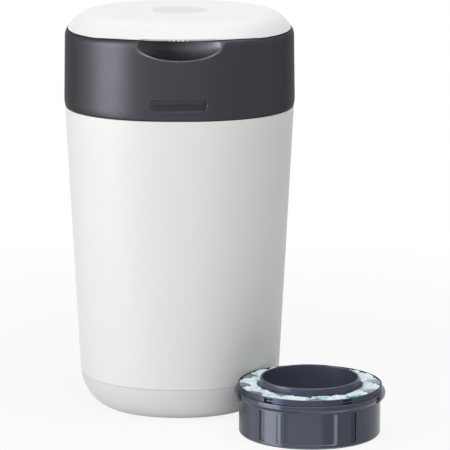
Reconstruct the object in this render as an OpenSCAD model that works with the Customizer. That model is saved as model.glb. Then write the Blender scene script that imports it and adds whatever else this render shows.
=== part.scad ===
// Nappy bin with a twist-to-seal head, and the refill cassette that feeds it.
// Origin: centre of the tub's flat underside. +Z up, the front faces -Y. Millimetres.

/* [Plan shape] */
// Power of the rounded-square plan at the head; 2 would be a circle
plan_power = 2.3; // [2.2:0.05:2.6]
// Power of the plan at the floor
floor_power = 2.15; // [2.05:0.05:2.3]
// Power of the plan at the middle of the lid
lid_power = 2.15; // [2.05:0.05:2.3]
// Flat steps round each rounded-square shell
plan_steps = 72; // [48:8:88]

/* [Tub] */
// Height of the joint between tub and head
tub_h = 356; // [300:1:400]
// Width of the tub just under the head
tub_top_w = 265.8; // [258:0.2:266]
// Width of the tub where the rounded base begins
tub_low_w = 234.8; // [222:0.2:245]
// Height of the rounded base
base_round_h = 48; // [44:1:56]
// Width of the flat underside
base_flat_w = 162; // [150:1:180]
// Wall of the tub
tub_wall = 2.6; // [2.2:0.1:3.2]
// Height of the base cap, up to its seam
base_cap_h = 41; // [34:0.5:43]
// Wall of the base cap
base_wall = 2.4; // [2:0.1:3]
// Height of the tub's rim that plugs into the head
rim_h = 10; // [8:1:13]
// Wall of that rim
rim_wall = 2.4; // [2:0.1:3]
// Radius of the non-slip pads under the base
pad_r = 9; // [6:1:12]
// Thickness of the pads
pad_t = 1.4; // [1:0.1:1.6]

/* [Head] */
// Width of the head at its widest
head_w = 267.6; // [267.4:0.2:274]
// Height of the head, without the lid
head_h = 88.6; // [88:0.2:96]
// How far the head's wall leans in towards the top, each side
head_lean = 1.2; // [0:0.1:2]
// Wall of the head
head_wall = 2.8; // [2.4:0.1:3.2]
// Height of the rounding at the head's lower edge
skirt_round_h = 8; // [6:0.5:10]
// How far that rounding turns in
skirt_round_in = 2.2; // [1.6:0.1:2.6]
// Height of the round shoulder under the lid
shoulder_h = 8; // [7:0.1:11]
// Width of the round shoulder
shoulder_w = 4.9; // [4:0.1:6]
// Thickness of the head's top deck
deck_t = 2.5; // [2:0.1:3]
// Stiffening ribs under the deck
deck_ribs = 8; // [4:4:12]

/* [Finger recess and badge] */
// Half the width of the finger recess
recess_half_w = 47; // [36:1:52]
// Depth of the recess at the deck
recess_depth = 14; // [10:0.5:16]
// Radius of the recess's rounded floor
recess_round = 23; // [20:0.5:30]
// Width of the blank badge
badge_w = 63; // [50:1:80]
// Height of the blank badge
badge_h = 12.2; // [10:0.2:18]
// Corner radius of the badge
badge_corner = 4; // [3:0.5:5]
// Height of the badge's middle above the head's lower edge
badge_up = 17.5; // [15:0.5:30]

/* [Lid] */
// Width of the lid
lid_w = 257.6; // [254:0.2:258.4]
// Rise of the lid's dome
lid_rise = 19; // [14:0.5:26]
// Flatness of the dome: higher is flatter on top and rounder at the edge
lid_flatness = 11.8; // [4:0.2:14]
// Wall of the lid
lid_wall = 2.4; // [2:0.1:3]
// Gap between lid and deck
lid_gap = 0.6; // [0.4:0.1:1]
// Diameter of the round dish in the lid's top
dish_d = 66; // [40:1:90]
// Depth of the dish
dish_depth = 0.9; // [0.5:0.1:1.4]
// Grip beads under the lid's front edge
grip_beads = 5; // [3:2:9]

/* [Hinges] */
// Radius of the head hinge's pin
head_pin_r = 2.5; // [2:0.1:3]
// Radius of the head hinge's knuckles
head_knuckle_r = 5.5; // [5:0.1:6]
// Half the length of the head hinge
head_hinge_half = 34; // [28:1:40]
// Radius of the lid hinge's pin
lid_pin_r = 1.5; // [1.2:0.1:1.8]
// Radius of the lid hinge's knuckles
lid_knuckle_r = 4; // [3.4:0.1:4.2]
// Half the length of the lid hinge
lid_hinge_half = 24; // [20:1:32]

/* [Twist dial] */
// Radius of the round opening in the deck
deck_hole_r = 104; // [103:0.5:106]
// Wall of the turning cradle and of the well round it
cradle_wall = 2.4; // [2:0.1:3]
// Raised grips on the twist ring
dial_grips = 6; // [3:1:8]
// Teeth of the click ring
click_teeth = 48; // [24:6:72]
// Depth of those teeth
click_tooth_h = 2.2; // [1.5:0.1:3]
// Screws that hold the well
well_screws_n = 6; // [3:1:8]

/* [Throat grips] */
// Radius of the throat that the nappies go through
throat_r = 60; // [56:1:62]
// Slope of the closed grips
grip_slope = 18; // [10:1:30]
// Thickness of a grip
grip_t = 2.4; // [2:0.1:3]
// Radius of the pins that the grips turn on
grip_pin_r = 1.5; // [1.2:0.1:1.8]
// Radius of the wire of the grips' springs
spring_wire_r = 0.5; // [0.4:0.05:0.6]

/* [Cassette] */
// Gap between the tub and the cassette that stands beside it
cassette_gap = 1; // [0.8:0.1:60]
// Direction in which the cassette stands, from the right towards the front
cassette_bearing = 43.5; // [0:0.5:90]
// How far it is turned, clockwise
cassette_turn = 4; // [0:0.1:8]
// Radius of the cup's wall
cassette_cup_r = 80.6; // [78:0.1:81]
// Radius of the top ring
cassette_ring_r = 82; // [81.4:0.1:82.4]
// Radius of the lip that hangs in the cradle
cassette_lip_r = 83.2; // [82.6:0.1:84]
// Radius over the two drive lugs
cassette_lug_r = 86; // [85:0.1:86.5]
// Height of the cassette up to its top ring
cassette_ring_z = 57.4; // [55:0.2:60]
// Height of the top of the cup's lip
cassette_lip_z = 50.6; // [49:0.2:52]
// Height of the whole cassette, to the top of its core
cassette_h = 64.5; // [62.5:0.5:67]
// Radius of the hole through the core
core_bore_r = 54.2; // [48:0.2:55]
// Wall of the cassette's pieces
cassette_wall = 2; // [1.8:0.1:2.4]
// Fingers of the top ring that hold the film down
film_fingers = 12; // [8:1:14]

/* [Hidden] */
$fn = 96;
// running clearance between pieces that fit one inside the other
fit = 0.3;
// clearance round a plate that is set in a recess
seat_gap = 0.15;
// clearance of a pin in the bore that holds it, and in the bore that turns on it
pin_seat = 0.03;
pin_run = 0.08;
// how far a cut runs past the face it opens, and how far joined pieces run into each other
past = 1;
sink = 0.4;

// half-widths and seams of the tub
base_r = base_flat_w / 2;
low_r = tub_low_w / 2;
top_r = tub_top_w / 2;
round_w = low_r - base_r;
rim_edge = 1;
pad_at = base_r - 6;

// the head's heights and half-widths
head_r = head_w / 2;
head_z = tub_h + 0.4;
deck_z = head_z + head_h;
wall_top_r = head_r - head_lean;
shoulder_turn = 70;
shoulder_z = deck_z - shoulder_h * sin(shoulder_turn);
deck_edge_r = wall_top_r - shoulder_w * (1 - cos(shoulder_turn));
skirt_in_r = head_r - skirt_round_in - head_wall;
rim_r = skirt_in_r - 1.7;
rib_t = 2;
rib_h = 8;
neck_t = 2.4;
badge_deep = 1.6;
badge_proud = 0.75;
badge_skin = 0.05;

// the lid, its liner and its seal
lid_r = lid_w / 2;
lid_z = deck_z + lid_gap;
lid_edge = 0.6;
dome_power = 1.11;
lid_inner_r = lid_r - lid_wall;
lid_inner_rise = lid_rise + lid_edge - lid_wall;
liner_t = 1.6;
liner_z = lid_z + 0.6;
liner_r = lid_inner_r * dome_reach((liner_z + liner_t - lid_z) / lid_inner_rise) - fit;
seal_t = liner_z - deck_z - 0.2;
seal_at = deck_hole_r + 4;
seal_w = 3.5;
bead_r = 1;
bead_pitch = 5;
bead_h = 2;

// hinge axes; the middle knuckles stand between two outer ones
head_axis_y = top_r + head_knuckle_r + 2 * fit;
head_axis_z = tub_h;
lid_axis_y = head_r + 1.4;
lid_axis_z = lid_z;
knuckle_half = 13.4;
knuckle_gap = 0.6;
pin_end = 0.5;

// the cassette's lip and lugs, and where it stands
lip_low_z = cassette_lip_z - 7.1;
lug_low_z = lip_low_z - 4.5;
lug_half = 20;
lip_round = 1.4;
stand_off = plan_reach(tub_half(cassette_lip_z), cassette_bearing, tub_power(cassette_lip_z))
    + cassette_gap + cassette_lip_r;
plug_r = cassette_cup_r - cassette_wall - seat_gap;
plug_deep = 4;
finger_t = 0.8;
finger_drop = 3.3;

// the cradle that carries the cassette, and the ring that turns it
cradle_low_r = cassette_cup_r + 0.8;
cradle_top_r = cassette_lug_r + 0.9;
cradle_floor_z = deck_z - 5.4 - cassette_h;
cradle_t = 2.5;
ledge_z = cradle_floor_z + lip_low_z - fit;
cradle_flange_r = cradle_top_r + cradle_wall + 3;
cradle_flange_t = 2.4;
cradle_window_r = 6;
key_t = 2;
key_h = 8;
ring_z = deck_z - 9.4;
ring_t = 3;
ring_r = deck_hole_r - 1;
ring_chamfer = 0.8;
ring_slope = 1.6;
dial_grip_half = 12;
dial_grip_r = 3;
dial_grip_h = 2.6;
click_r = deck_hole_r - 6;
click_lift = 0.3;

// the fixed well round the cradle, and its screws
well_r = cradle_top_r + cradle_wall + 2.9;
well_top_z = ring_z - 9;
well_t = 2.5;
well_floor_z = cradle_floor_z - cradle_t - 2.5;
well_flange_r = deck_hole_r + 9;
throat_edge_r = throat_r + 2;
gusset_t = 2;
gusset_h = 14;
vent_r = 7;
boss_r = 3.5;
boss_at = deck_hole_r + 5.5;
screw_r = 1.35;
screw_head_r = 3.2;
screw_head_t = 2.2;
screw_l = 12;
slot_w = 0.8;

// the leaf spring that clicks over the ring's teeth
leaf_r = deck_hole_r - 2.4;
leaf_t = 0.6;
leaf_h = 4.6;
leaf_up = 1.4;
leaf_half = 22;
nose_r = 1.7;

// the throat grips and the ring that carries them
carrier_t = 2.3;
carrier_r = throat_r + 14;
carrier_z = well_floor_z - well_t;
grip_axis_r = throat_r + 6;
grip_axis_z = carrier_z - carrier_t - 3.6;
grip_knuckle_r = 3.2;
grip_half = 22;
grip_middle = 6;
grip_wide = 30;
ear_t = 3;
ear_r = 3.4;
coils_half = 4;

// the cutter under the well
guard_half = 24;
guard_h = 12;
guard_t = 10;
guard_slot = 14;
blade_t = 0.6;
blade_reach = 3.6;
blade_slant = 1.6;

// ---- shared shapes ----

// point i of the rounded-square outline of half-width r
function plan_point(r, i, power = plan_power) = let (t = 360 * i / plan_steps)
    [r * sign(cos(t)) * pow(abs(cos(t)), 2 / power),
     r * sign(sin(t)) * pow(abs(sin(t)), 2 / power)];

// the outline at p = [half-width, height] or [half-width, height, power]
function plan_outline(p) = [for (i = [0:plan_steps - 1])
    let (q = plan_point(p[0], i, len(p) > 2 ? p[2] : plan_power)) [q[0], q[1], p[1]]];

// the tub's plan grows squarer towards the head
function tub_power(z) = floor_power + (plan_power - floor_power) * min(1, z / tub_h);
function tub_plan(p) = [p[0], p[1], tub_power(p[1])];

// half-width of the tub's straight wall at a height
function tub_half(z) = low_r + (top_r - low_r) * (z - base_round_h) / (tub_h - base_round_h);

// how far an outline of half-width r reaches from the axis in the direction a
function plan_reach(r, a, power = plan_power) =
    r / pow(pow(abs(cos(a)), power) + pow(abs(sin(a)), power), 1 / power);

// how far in front of the axis that outline is, x to the side
function plan_front(r, x) = r * pow(1 - pow(x / r, plan_power), 1 / plan_power);

// points of an ellipse arc in a section
function arc(r, z, rx, rz, a0, a1, n) =
    [for (k = [0:n]) let (a = a0 + (a1 - a0) * k / n) [r + rx * cos(a), z + rz * sin(a)]];

function quad_faces(ring, next, first) =
    [for (i = [0:plan_steps - 1]) let (j = (i + 1) % plan_steps)
        [first + ring * plan_steps + i, first + next * plan_steps + i,
         first + next * plan_steps + j, first + ring * plan_steps + j]];

// a closed section of [half-width, height] carried round the rounded square
module plan_ring(section) {
    n = len(section);
    polyhedron([for (p = section) each plan_outline(p)],
        [for (k = [0:n - 1]) each quad_faces(k, (k + 1) % n, 0)]);
}

// a section that starts and ends on the axis, carried round the rounded square
module plan_bowl(section) {
    n = len(section);
    rings = [for (k = [1:n - 2]) section[k]];
    count = len(rings);
    last = 1 + count * plan_steps;
    polyhedron(
        concat([[0, 0, section[0][1]]],
            [for (p = rings) each plan_outline(p)],
            [[0, 0, section[n - 1][1]]]),
        concat([for (i = [0:plan_steps - 1]) [0, 1 + i, 1 + (i + 1) % plan_steps]],
            [for (k = [0:count - 2]) each quad_faces(k, k + 1, 1)],
            [for (i = [0:plan_steps - 1])
                [last, last - plan_steps + (i + 1) % plan_steps, last - plan_steps + i]]));
}

// a flat rounded-square plate
module plan_plate(r, t) {
    linear_extrude(t) polygon([for (i = [0:plan_steps - 1]) plan_point(r, i)]);
}

// a ring turned about the axis from r0 to r1, z0 to z1
module ring(r0, r1, z0, z1) {
    rotate_extrude() translate([r0, z0]) square([r1 - r0, z1 - z0]);
}

// copies round the axis, the first at a0
module around(n, a0 = 0) {
    for (k = [0:n - 1]) rotate(a0 + 360 * k / n) children();
}

// the two outer knuckles of a hinge, from the middle one's gap out to half
module outer_knuckles(half) {
    for (side = [-1, 1])
        along_x(side > 0 ? knuckle_half + knuckle_gap : -half, side > 0 ? half : -knuckle_half - knuckle_gap)
            children();
}

// a section in the YZ plane drawn out along X, from x0 to x1
module along_x(x0, x1) {
    translate([x0, 0, 0]) rotate([90, 0, 90]) linear_extrude(x1 - x0) children();
}

// a rod along X
module rod_x(r, x0, x1, y, z) {
    translate([x0, y, z]) rotate([0, 90, 0]) cylinder(r = r, h = x1 - x0);
}

// ---- tub ----

module tub_shell() {
    skin = base_wall + fit;
    out = [round_w - skin, base_round_h - skin];
    inn = [out[0] - tub_wall, out[1] - tub_wall];
    seam = base_cap_h + fit;
    rim_in = rim_r - rim_wall;
    step_in = top_r - tub_wall - 0.6;
    a_skin = asin((seam - base_round_h) / out[1]);
    a_seam = asin((seam - base_round_h) / base_round_h);
    color("white")
    difference() {
        union() {
            plan_bowl([for (p = concat(
                [[0, skin]],
                arc(base_r, base_round_h, out[0], out[1], -90, a_skin, 6),
                arc(base_r, base_round_h, round_w, base_round_h, a_seam, 0, 1),
                [[(low_r + top_r) / 2, (base_round_h + tub_h) / 2],
                 [top_r, tub_h], [rim_r, tub_h], [rim_r, tub_h + rim_h - rim_edge],
                 [rim_r - rim_edge, tub_h + rim_h], [rim_in, tub_h + rim_h], [rim_in, tub_h - 5],
                 [step_in, tub_h - 12], [low_r - tub_wall, base_round_h + 6]],
                arc(base_r, base_round_h, inn[0], inn[1], 0, -90, 6),
                [[0, skin + tub_wall]])) tub_plan(p)]);
            tub_knuckles();
        }
        rod_x(head_pin_r + pin_seat, -head_hinge_half - past, head_hinge_half + past,
            head_axis_y, head_axis_z);
    }
}

// knuckles on gussets that run down the back of the tub
module tub_knuckles() {
    root = top_r - tub_wall + 0.2;
    gusset_low = tub_h - 26;
    gusset_foot = [top_r + 2, tub_h - 20];
    outer_knuckles(head_hinge_half) {
        translate([head_axis_y, head_axis_z]) circle(head_knuckle_r);
        polygon([[root, gusset_low], gusset_foot,
            [head_axis_y + head_knuckle_r * cos(20), tub_h - head_knuckle_r * sin(20)],
            [head_axis_y, tub_h], [head_axis_y - head_knuckle_r, tub_h - past],
            [root + past, tub_h - 3]]);
    }
}

module base_cap() {
    a_top = asin((base_cap_h - base_round_h) / base_round_h);
    inn = [round_w - base_wall, base_round_h - base_wall];
    a_in = asin((base_cap_h - base_round_h) / inn[1]);
    color("gainsboro")
    difference() {
        plan_bowl([for (p = concat(
            [[0, 0]],
            arc(base_r, base_round_h, round_w, base_round_h, -90, a_top, 9),
            arc(base_r, base_round_h, inn[0], inn[1], a_in, -90, 6),
            [[0, base_wall]])) tub_plan(p)]);
        pads_at() translate([0, 0, -past]) cylinder(r = pad_r + seat_gap, h = pad_t + past);
    }
}

module pads_at() {
    around(4, 45) translate([pad_at, 0, 0]) children();
}

module foot_pads() {
    color("dimgray") pads_at() cylinder(r = pad_r, h = pad_t);
}

module head_hinge_pin() {
    color("silver")
    rod_x(head_pin_r, -head_hinge_half - pin_end, head_hinge_half + pin_end, head_axis_y, head_axis_z);
}

// ---- head ----

// section of the head's wall, shoulder and outer deck
function head_section() = concat(
    arc(head_r - skirt_round_in, head_z + skirt_round_h, skirt_round_in, skirt_round_h, -90, 0, 3),
    arc(wall_top_r - shoulder_w, shoulder_z, shoulder_w, shoulder_h, 0, shoulder_turn, 5),
    [[deck_hole_r + 8, deck_z], [deck_hole_r + 8, deck_z - deck_t],
     [deck_edge_r - deck_t, deck_z - deck_t],
     [wall_top_r - head_wall - 0.6, shoulder_z + 2.4], [wall_top_r - head_wall, shoulder_z - 2],
     [head_r - head_wall, head_z + skirt_round_h + 1], [skirt_in_r, head_z + 1.5],
     [skirt_in_r, head_z]]);

module head_shell() {
    color("dimgray")
    difference() {
        union() {
            difference() {
                union() {
                    plan_ring(head_section());
                    recess_body(head_wall - sink);
                }
                hinge_notch();
                recess_cut();
                badge_recess();
            }
            ring(deck_hole_r, deck_hole_r + 15, deck_z - deck_t, deck_z);
            ring(deck_hole_r, deck_hole_r + neck_t, well_top_z, deck_z);
            around(well_screws_n, 30) translate([boss_at, 0, well_top_z])
                cylinder(r = boss_r, h = deck_z - well_top_z - past);
            rib_set();
            head_knuckle();
            lid_ears();
        }
        around(well_screws_n, 30) translate([boss_at, 0, well_top_z - past])
            cylinder(r = screw_r + pin_seat, h = screw_l + past);
        rod_x(head_pin_r + pin_run, -knuckle_half - past, knuckle_half + past, head_axis_y, head_axis_z);
        rod_x(lid_pin_r + pin_seat, -lid_hinge_half - past, lid_hinge_half + past, lid_axis_y, lid_axis_z);
    }
}

// ribs under the deck, from the neck out to the wall
module rib_set() {
    first = 22.5;
    from_r = deck_hole_r + neck_t / 2;
    to_r = plan_reach(wall_top_r - head_wall, first) + past;
    around(deck_ribs, first) translate([from_r, -rib_t / 2, deck_z - deck_t - rib_h])
        cube([to_r - from_r, rib_t, rib_h + sink]);
}

// the turned form that scoops the finger recess, grown by skin for the wall behind it
module recess_form(skin) {
    inset = plan_front(wall_top_r, recess_half_w) - (wall_top_r - recess_depth);
    sweep = (pow(recess_half_w, 2) + pow(inset, 2)) / (2 * inset);
    translate([0, -(wall_top_r - recess_depth + sweep), deck_z])
        rotate_extrude() {
            translate([sweep - recess_round, 0]) intersection() {
                circle(recess_round + skin);
                translate([0, -2 * recess_round]) square(2 * recess_round);
            }
            translate([0, -recess_round - skin])
                square([sweep - recess_round, recess_round + skin]);
        }
}

// a block at the front that the recess stays inside
module recess_zone(side, ahead, top) {
    low = deck_z - recess_round - side / 2;
    back = -head_r / 2;
    translate([-recess_half_w - side, -head_r - ahead, low])
        cube([2 * (recess_half_w + side), back + head_r + ahead, deck_z + top - low]);
}

module recess_cut() {
    intersection() {
        union() {
            recess_form(0);
            translate([0, 0, 2 * past]) recess_form(0);
        }
        recess_zone(12, 6, 4);
    }
}

module recess_body(skin) {
    intersection() {
        recess_form(skin);
        recess_zone(14, 0, 0);
        plan_bowl([[0, head_z + head_h / 2], [head_r - 1.4, head_z + head_h / 2],
            [wall_top_r - past, shoulder_z], [deck_edge_r - 1.4, deck_z], [0, deck_z]]);
    }
}

// the badge's outline, smaller by gap all round, driven through the front wall
module badge_block(gap) {
    w = badge_w / 2 - gap;
    h = badge_h / 2 - gap;
    corner = badge_corner - gap;
    deep = 12;
    translate([0, -head_r + deep, head_z + badge_up]) rotate([90, 0, 0]) linear_extrude(2 * deep)
        polygon([for (q = [[1, 1, 0], [-1, 1, 90], [-1, -1, 180], [1, -1, 270]]) each
            arc(q[0] * (w - corner), q[1] * (h - corner), corner, corner, q[2], q[2] + 90, 6)]);
}

module badge_band(r0, r1) {
    plan_ring([[r1, head_z + skirt_round_h + 1], [r1, head_z + badge_up + badge_h],
        [r0, head_z + badge_up + badge_h], [r0, head_z + skirt_round_h + 1]]);
}

module badge_recess() {
    intersection() {
        badge_band(head_r - badge_deep, head_r + past);
        badge_block(0);
    }
}

module badge_plate() {
    color("darkslategray")
    intersection() {
        badge_band(head_r - badge_deep + badge_skin, head_r - badge_proud);
        badge_block(seat_gap);
    }
}

// the slot in the skirt that the tub's knuckles stand in
module hinge_notch() {
    side_gap = 2;
    deep = 10;
    translate([-head_hinge_half - side_gap, head_r - deep, head_z - past])
        cube([2 * (head_hinge_half + side_gap), 2 * deep, skirt_round_h + past]);
}

// the head's middle knuckle on its arm
module head_knuckle() {
    root = head_r - head_wall + 1;
    arm_top = head_z + 22;
    arm_back = [head_r + 3, arm_top - 6];
    along_x(-knuckle_half, knuckle_half) {
        translate([head_axis_y, head_axis_z]) circle(head_knuckle_r);
        polygon([[head_axis_y, head_axis_z], [head_axis_y + head_knuckle_r, head_axis_z + past],
            arm_back, [root, arm_top], [root, head_z + skirt_round_h + 0.5],
            [head_axis_y - head_knuckle_r * cos(33), head_axis_z + head_knuckle_r * sin(33)]]);
    }
}

// ears that carry the lid's pin
module lid_ears() {
    root = wall_top_r - 1.6;
    gusset_low = shoulder_z - 20;
    outer_knuckles(lid_hinge_half) {
        translate([lid_axis_y, lid_axis_z]) circle(lid_knuckle_r);
        polygon([[lid_axis_y + lid_knuckle_r, lid_axis_z - 0.5], [lid_axis_y, lid_axis_z],
            [lid_axis_y - lid_knuckle_r, lid_axis_z - 1.5], [root, shoulder_z - past],
            [root, gusset_low], [wall_top_r + past, gusset_low + past]]);
    }
}

// the fixed well that the cradle turns in
module cassette_well() {
    color("slategray")
    difference() {
        union() {
            ring(well_r, well_r + cradle_wall, carrier_z, well_top_z);
            ring(throat_edge_r, well_r + past, carrier_z, well_floor_z);
            ring(well_r, well_flange_r, well_top_z - well_t, well_top_z);
            around(12, 15) translate([well_r + cradle_wall - sink, 0, well_top_z - well_t]) gusset();
        }
        around(well_screws_n, 30) translate([boss_at, 0, well_top_z - well_t - past])
            cylinder(r = screw_r + sink, h = well_t + 2 * past);
        around(4, 45) translate([(throat_edge_r + well_r) / 2 + 2, 0, carrier_z - past])
            cylinder(r = vent_r, h = well_t + 2 * past);
    }
}

// a small triangular gusset under the well's flange
module gusset() {
    wide = boss_at - screw_head_r - past - well_r - cradle_wall;
    translate([0, gusset_t / 2, -gusset_h + sink]) rotate([90, 0, 0]) linear_extrude(gusset_t)
        polygon([[0, 0], [0, gusset_h], [wide, gusset_h]]);
}

module well_screws() {
    head_low = well_top_z - well_t - screw_head_t;
    slot_l = screw_head_r * 1.25;
    color("silver")
    around(well_screws_n, 30) translate([boss_at, 0, head_low]) difference() {
        union() {
            cylinder(r = screw_head_r, h = screw_head_t);
            translate([0, 0, screw_head_t - sink]) cylinder(r = screw_r, h = screw_l);
        }
        for (a = [0, 90]) rotate(a) translate([-slot_l / 2, -slot_w / 2, -past])
            cube([slot_l, slot_w, screw_head_t / 2 + past]);
    }
}

// leaf spring whose nose clicks over the teeth
module click_spring() {
    reach = leaf_r / cos(leaf_half) + past;
    foot = [2.2, 8];
    color("silver")
    rotate(-90) {
        intersection() {
            ring(leaf_r - leaf_t, leaf_r, well_top_z + leaf_up, well_top_z + leaf_up + leaf_h);
            translate([0, 0, well_top_z]) linear_extrude(leaf_up + leaf_h + past)
                polygon([[0, 0], [reach * cos(leaf_half), -reach * sin(leaf_half)], [reach, 0],
                    [reach * cos(leaf_half), reach * sin(leaf_half)]]);
        }
        rotate(leaf_half - 1) translate([click_r + fit + nose_r, 0, well_top_z + leaf_up])
            cylinder(r = nose_r, h = leaf_h);
        rotate(2 - leaf_half) translate([leaf_r - foot[0] / 2, -foot[1] / 2, well_top_z])
            cube([foot[0], foot[1], leaf_up + leaf_h]);
    }
}

// the ring that carries the four throat grips
module grip_carrier() {
    color("slategray")
    difference() {
        union() {
            ring(throat_r + 1, carrier_r, carrier_z - carrier_t, carrier_z);
            around(4, -90) for (side = [-1, 1])
                translate([grip_axis_r, side * (grip_half + pin_end + ear_t / 2), 0]) rotate([90, 0, 0])
                    translate([0, 0, -ear_t / 2]) linear_extrude(ear_t) {
                        translate([0, grip_axis_z]) circle(ear_r);
                        translate([-ear_r, grip_axis_z])
                            square([2 * ear_r, carrier_z - carrier_t + sink - grip_axis_z]);
                    }
        }
        around(4, -90) grip_rod(grip_pin_r + pin_seat, grip_half + ear_t + 2 * past);
    }
}

module grip_rod(r, half) {
    translate([grip_axis_r, half, grip_axis_z]) rotate([90, 0, 0]) cylinder(r = r, h = 2 * half);
}

module grip_pins() {
    color("silver") around(4, -90) grip_rod(grip_pin_r, grip_half + ear_t + past + pin_end);
}

// close-wound coils round each pin, with the leg that bears on the carrier
module grip_springs() {
    coil = grip_pin_r + 0.25 + spring_wire_r;
    pitch = 1.8 * spring_wire_r;
    color("silver") around(4, -90) translate([grip_axis_r, 0, grip_axis_z]) {
        rotate([90, 0, 0]) rotate_extrude() for (k = [-coils_half:coils_half])
            translate([coil, k * pitch]) circle(spring_wire_r, $fn = 24);
        translate([coil, -coils_half * pitch, 0])
            cylinder(r = spring_wire_r, h = carrier_z - carrier_t - grip_axis_z - 0.1, $fn = 24);
    }
}

// where the cutter stands: its middle, at the height of its slot
module cutter_at(t) {
    translate([0, -(throat_r + 25), carrier_z - 6.4]) rotate([90, 0, 0])
        translate([0, 0, -t / 2]) linear_extrude(t) children();
}

module cutter_guard() {
    mouth_r = 3.4;
    slot = 2 * blade_slant;
    color("slategray")
    cutter_at(guard_t) difference() {
        translate([-guard_half, 6.4 - guard_h]) square([2 * guard_half, guard_h]);
        translate([-guard_slot, -blade_slant]) square([guard_slot + guard_half + past, slot]);
        translate([-guard_slot, 0]) circle(blade_slant);
        translate([guard_half, 0]) circle(mouth_r);
    }
}

// a slanted blade across the slot
module cutter_blade() {
    edge = 1.2;
    color("gainsboro")
    cutter_at(blade_t) translate([-guard_slot + blade_reach + 2.4, 0])
        polygon([[-blade_reach, -blade_slant], [edge - blade_reach, -blade_slant],
            [blade_reach, blade_slant], [blade_reach - edge, blade_slant]]);
}

module lid_hinge_pin() {
    color("silver")
    rod_x(lid_pin_r, -lid_hinge_half - pin_end, lid_hinge_half + pin_end, lid_axis_y, lid_axis_z);
}

// ---- lid ----

// share of the dome's rise at u of its half-width, and the u at which it has that rise
function dome(u) = pow(1 - pow(u, lid_flatness), dome_power);
function dome_reach(h) = pow(1 - pow(h, 1 / dome_power), 1 / lid_flatness);

// rings of a dome of half-width r that stands on z, closer together towards its edge
function dome_rings(r, z, rise) =
    [for (u = [1, 0.985, 0.965, 0.945, 0.92, 0.89, 0.85, 0.8, 0.72, 0.5])
        [r * u, z + rise * dome(u), lid_power + (plan_power - lid_power) * pow(u, 4)]];

function backwards(list) = [for (k = [len(list) - 1:-1:0]) list[k]];

module lid_shell() {
    color("white")
    difference() {
        union() {
            plan_bowl(concat(
                [[0, lid_z + lid_inner_rise]],
                backwards(dome_rings(lid_inner_r, lid_z, lid_inner_rise)),
                [[lid_r - lid_edge, lid_z]],
                dome_rings(lid_r, lid_z + lid_edge, lid_rise),
                [[0, lid_z + lid_edge + lid_rise]]));
            lid_knuckle();
            for (k = [0:grip_beads - 1])
                translate([(k - (grip_beads - 1) / 2) * bead_pitch, -lid_r + bead_r + fit,
                    lid_z - bead_h + 0.7]) cylinder(r = bead_r, h = bead_h, $fn = 24);
        }
        translate([0, 0, lid_z + lid_edge + lid_rise - dish_depth])
            cylinder(r = dish_d / 2, h = dish_depth + past);
        rod_x(lid_pin_r + pin_run, -knuckle_half - past, knuckle_half + past, lid_axis_y, lid_axis_z);
    }
}

// the lid's middle knuckle on its arm
module lid_knuckle() {
    root = lid_r - 1.6;
    low = lid_z + 0.2;
    along_x(-knuckle_half, knuckle_half) {
        translate([lid_axis_y, lid_axis_z]) circle(lid_knuckle_r);
        polygon([[lid_axis_y, lid_axis_z + lid_knuckle_r], [lid_axis_y, low], [root, low],
            [root, lid_z + 3], [lid_axis_y - 3, lid_z + lid_knuckle_r - sink]]);
    }
}

module lid_liner() {
    color("whitesmoke")
    translate([0, 0, liner_z]) plan_plate(liner_r, liner_t);
}

module lid_seal() {
    color("darkgray")
    ring(seal_at, seal_at + seal_w, liner_z - seal_t, liner_z);
}

// ---- twist dial ----

module cassette_cradle() {
    floor_low = cradle_floor_z - cradle_t;
    color("lightslategray")
    difference() {
        union() {
            rotate_extrude() polygon([
                [throat_r, floor_low], [cradle_low_r + cradle_wall, floor_low],
                [cradle_low_r + cradle_wall, ledge_z - cradle_t], [cradle_top_r + cradle_wall, ledge_z],
                [cradle_top_r + cradle_wall, ring_z - cradle_flange_t],
                [cradle_flange_r, ring_z - cradle_flange_t],
                [cradle_flange_r, ring_z], [cradle_top_r, ring_z],
                [cradle_top_r, ledge_z], [cradle_low_r, ledge_z],
                [cradle_low_r, cradle_floor_z], [throat_r, cradle_floor_z]]);
            around(2) for (side = [-1, 1]) rotate(side * (lug_half + 2.5)) key_rib();
        }
        around(6, 30) translate([cradle_low_r - past, 0, cradle_floor_z + 3 * cradle_window_r])
            rotate([0, 90, 0]) cylinder(r = cradle_window_r, h = cradle_wall + 2 * past);
    }
}

// a rib that drives the cassette round by its lug
module key_rib() {
    from_r = cassette_lip_r + 2 * fit;
    translate([from_r, -key_t / 2, ledge_z - past])
        cube([cradle_top_r + cradle_wall / 2 - from_r, key_t, key_h + past]);
}

module twist_ring() {
    color("slategray")
    union() {
        rotate_extrude() polygon([
            [cradle_top_r, ring_z], [ring_r, ring_z], [ring_r, ring_z + ring_t - ring_chamfer],
            [ring_r - ring_chamfer, ring_z + ring_t], [cradle_top_r + ring_slope, ring_z + ring_t],
            [cradle_top_r, ring_z + ring_t - ring_slope]]);
        around(dial_grips) dial_grip();
    }
}

// a raised bar with round ends, pushed by the fingers to turn the dial
module dial_grip() {
    mid_r = (cradle_top_r + ring_r + ring_slope) / 2;
    tall = ring_t + dial_grip_h;
    translate([mid_r, 0, ring_z + past]) {
        translate([-dial_grip_r, -dial_grip_half, 0]) cube([2 * dial_grip_r, 2 * dial_grip_half, tall]);
        for (side = [-1, 1]) translate([0, dial_grip_half * side, 0]) cylinder(r = dial_grip_r, h = tall);
    }
}

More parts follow.
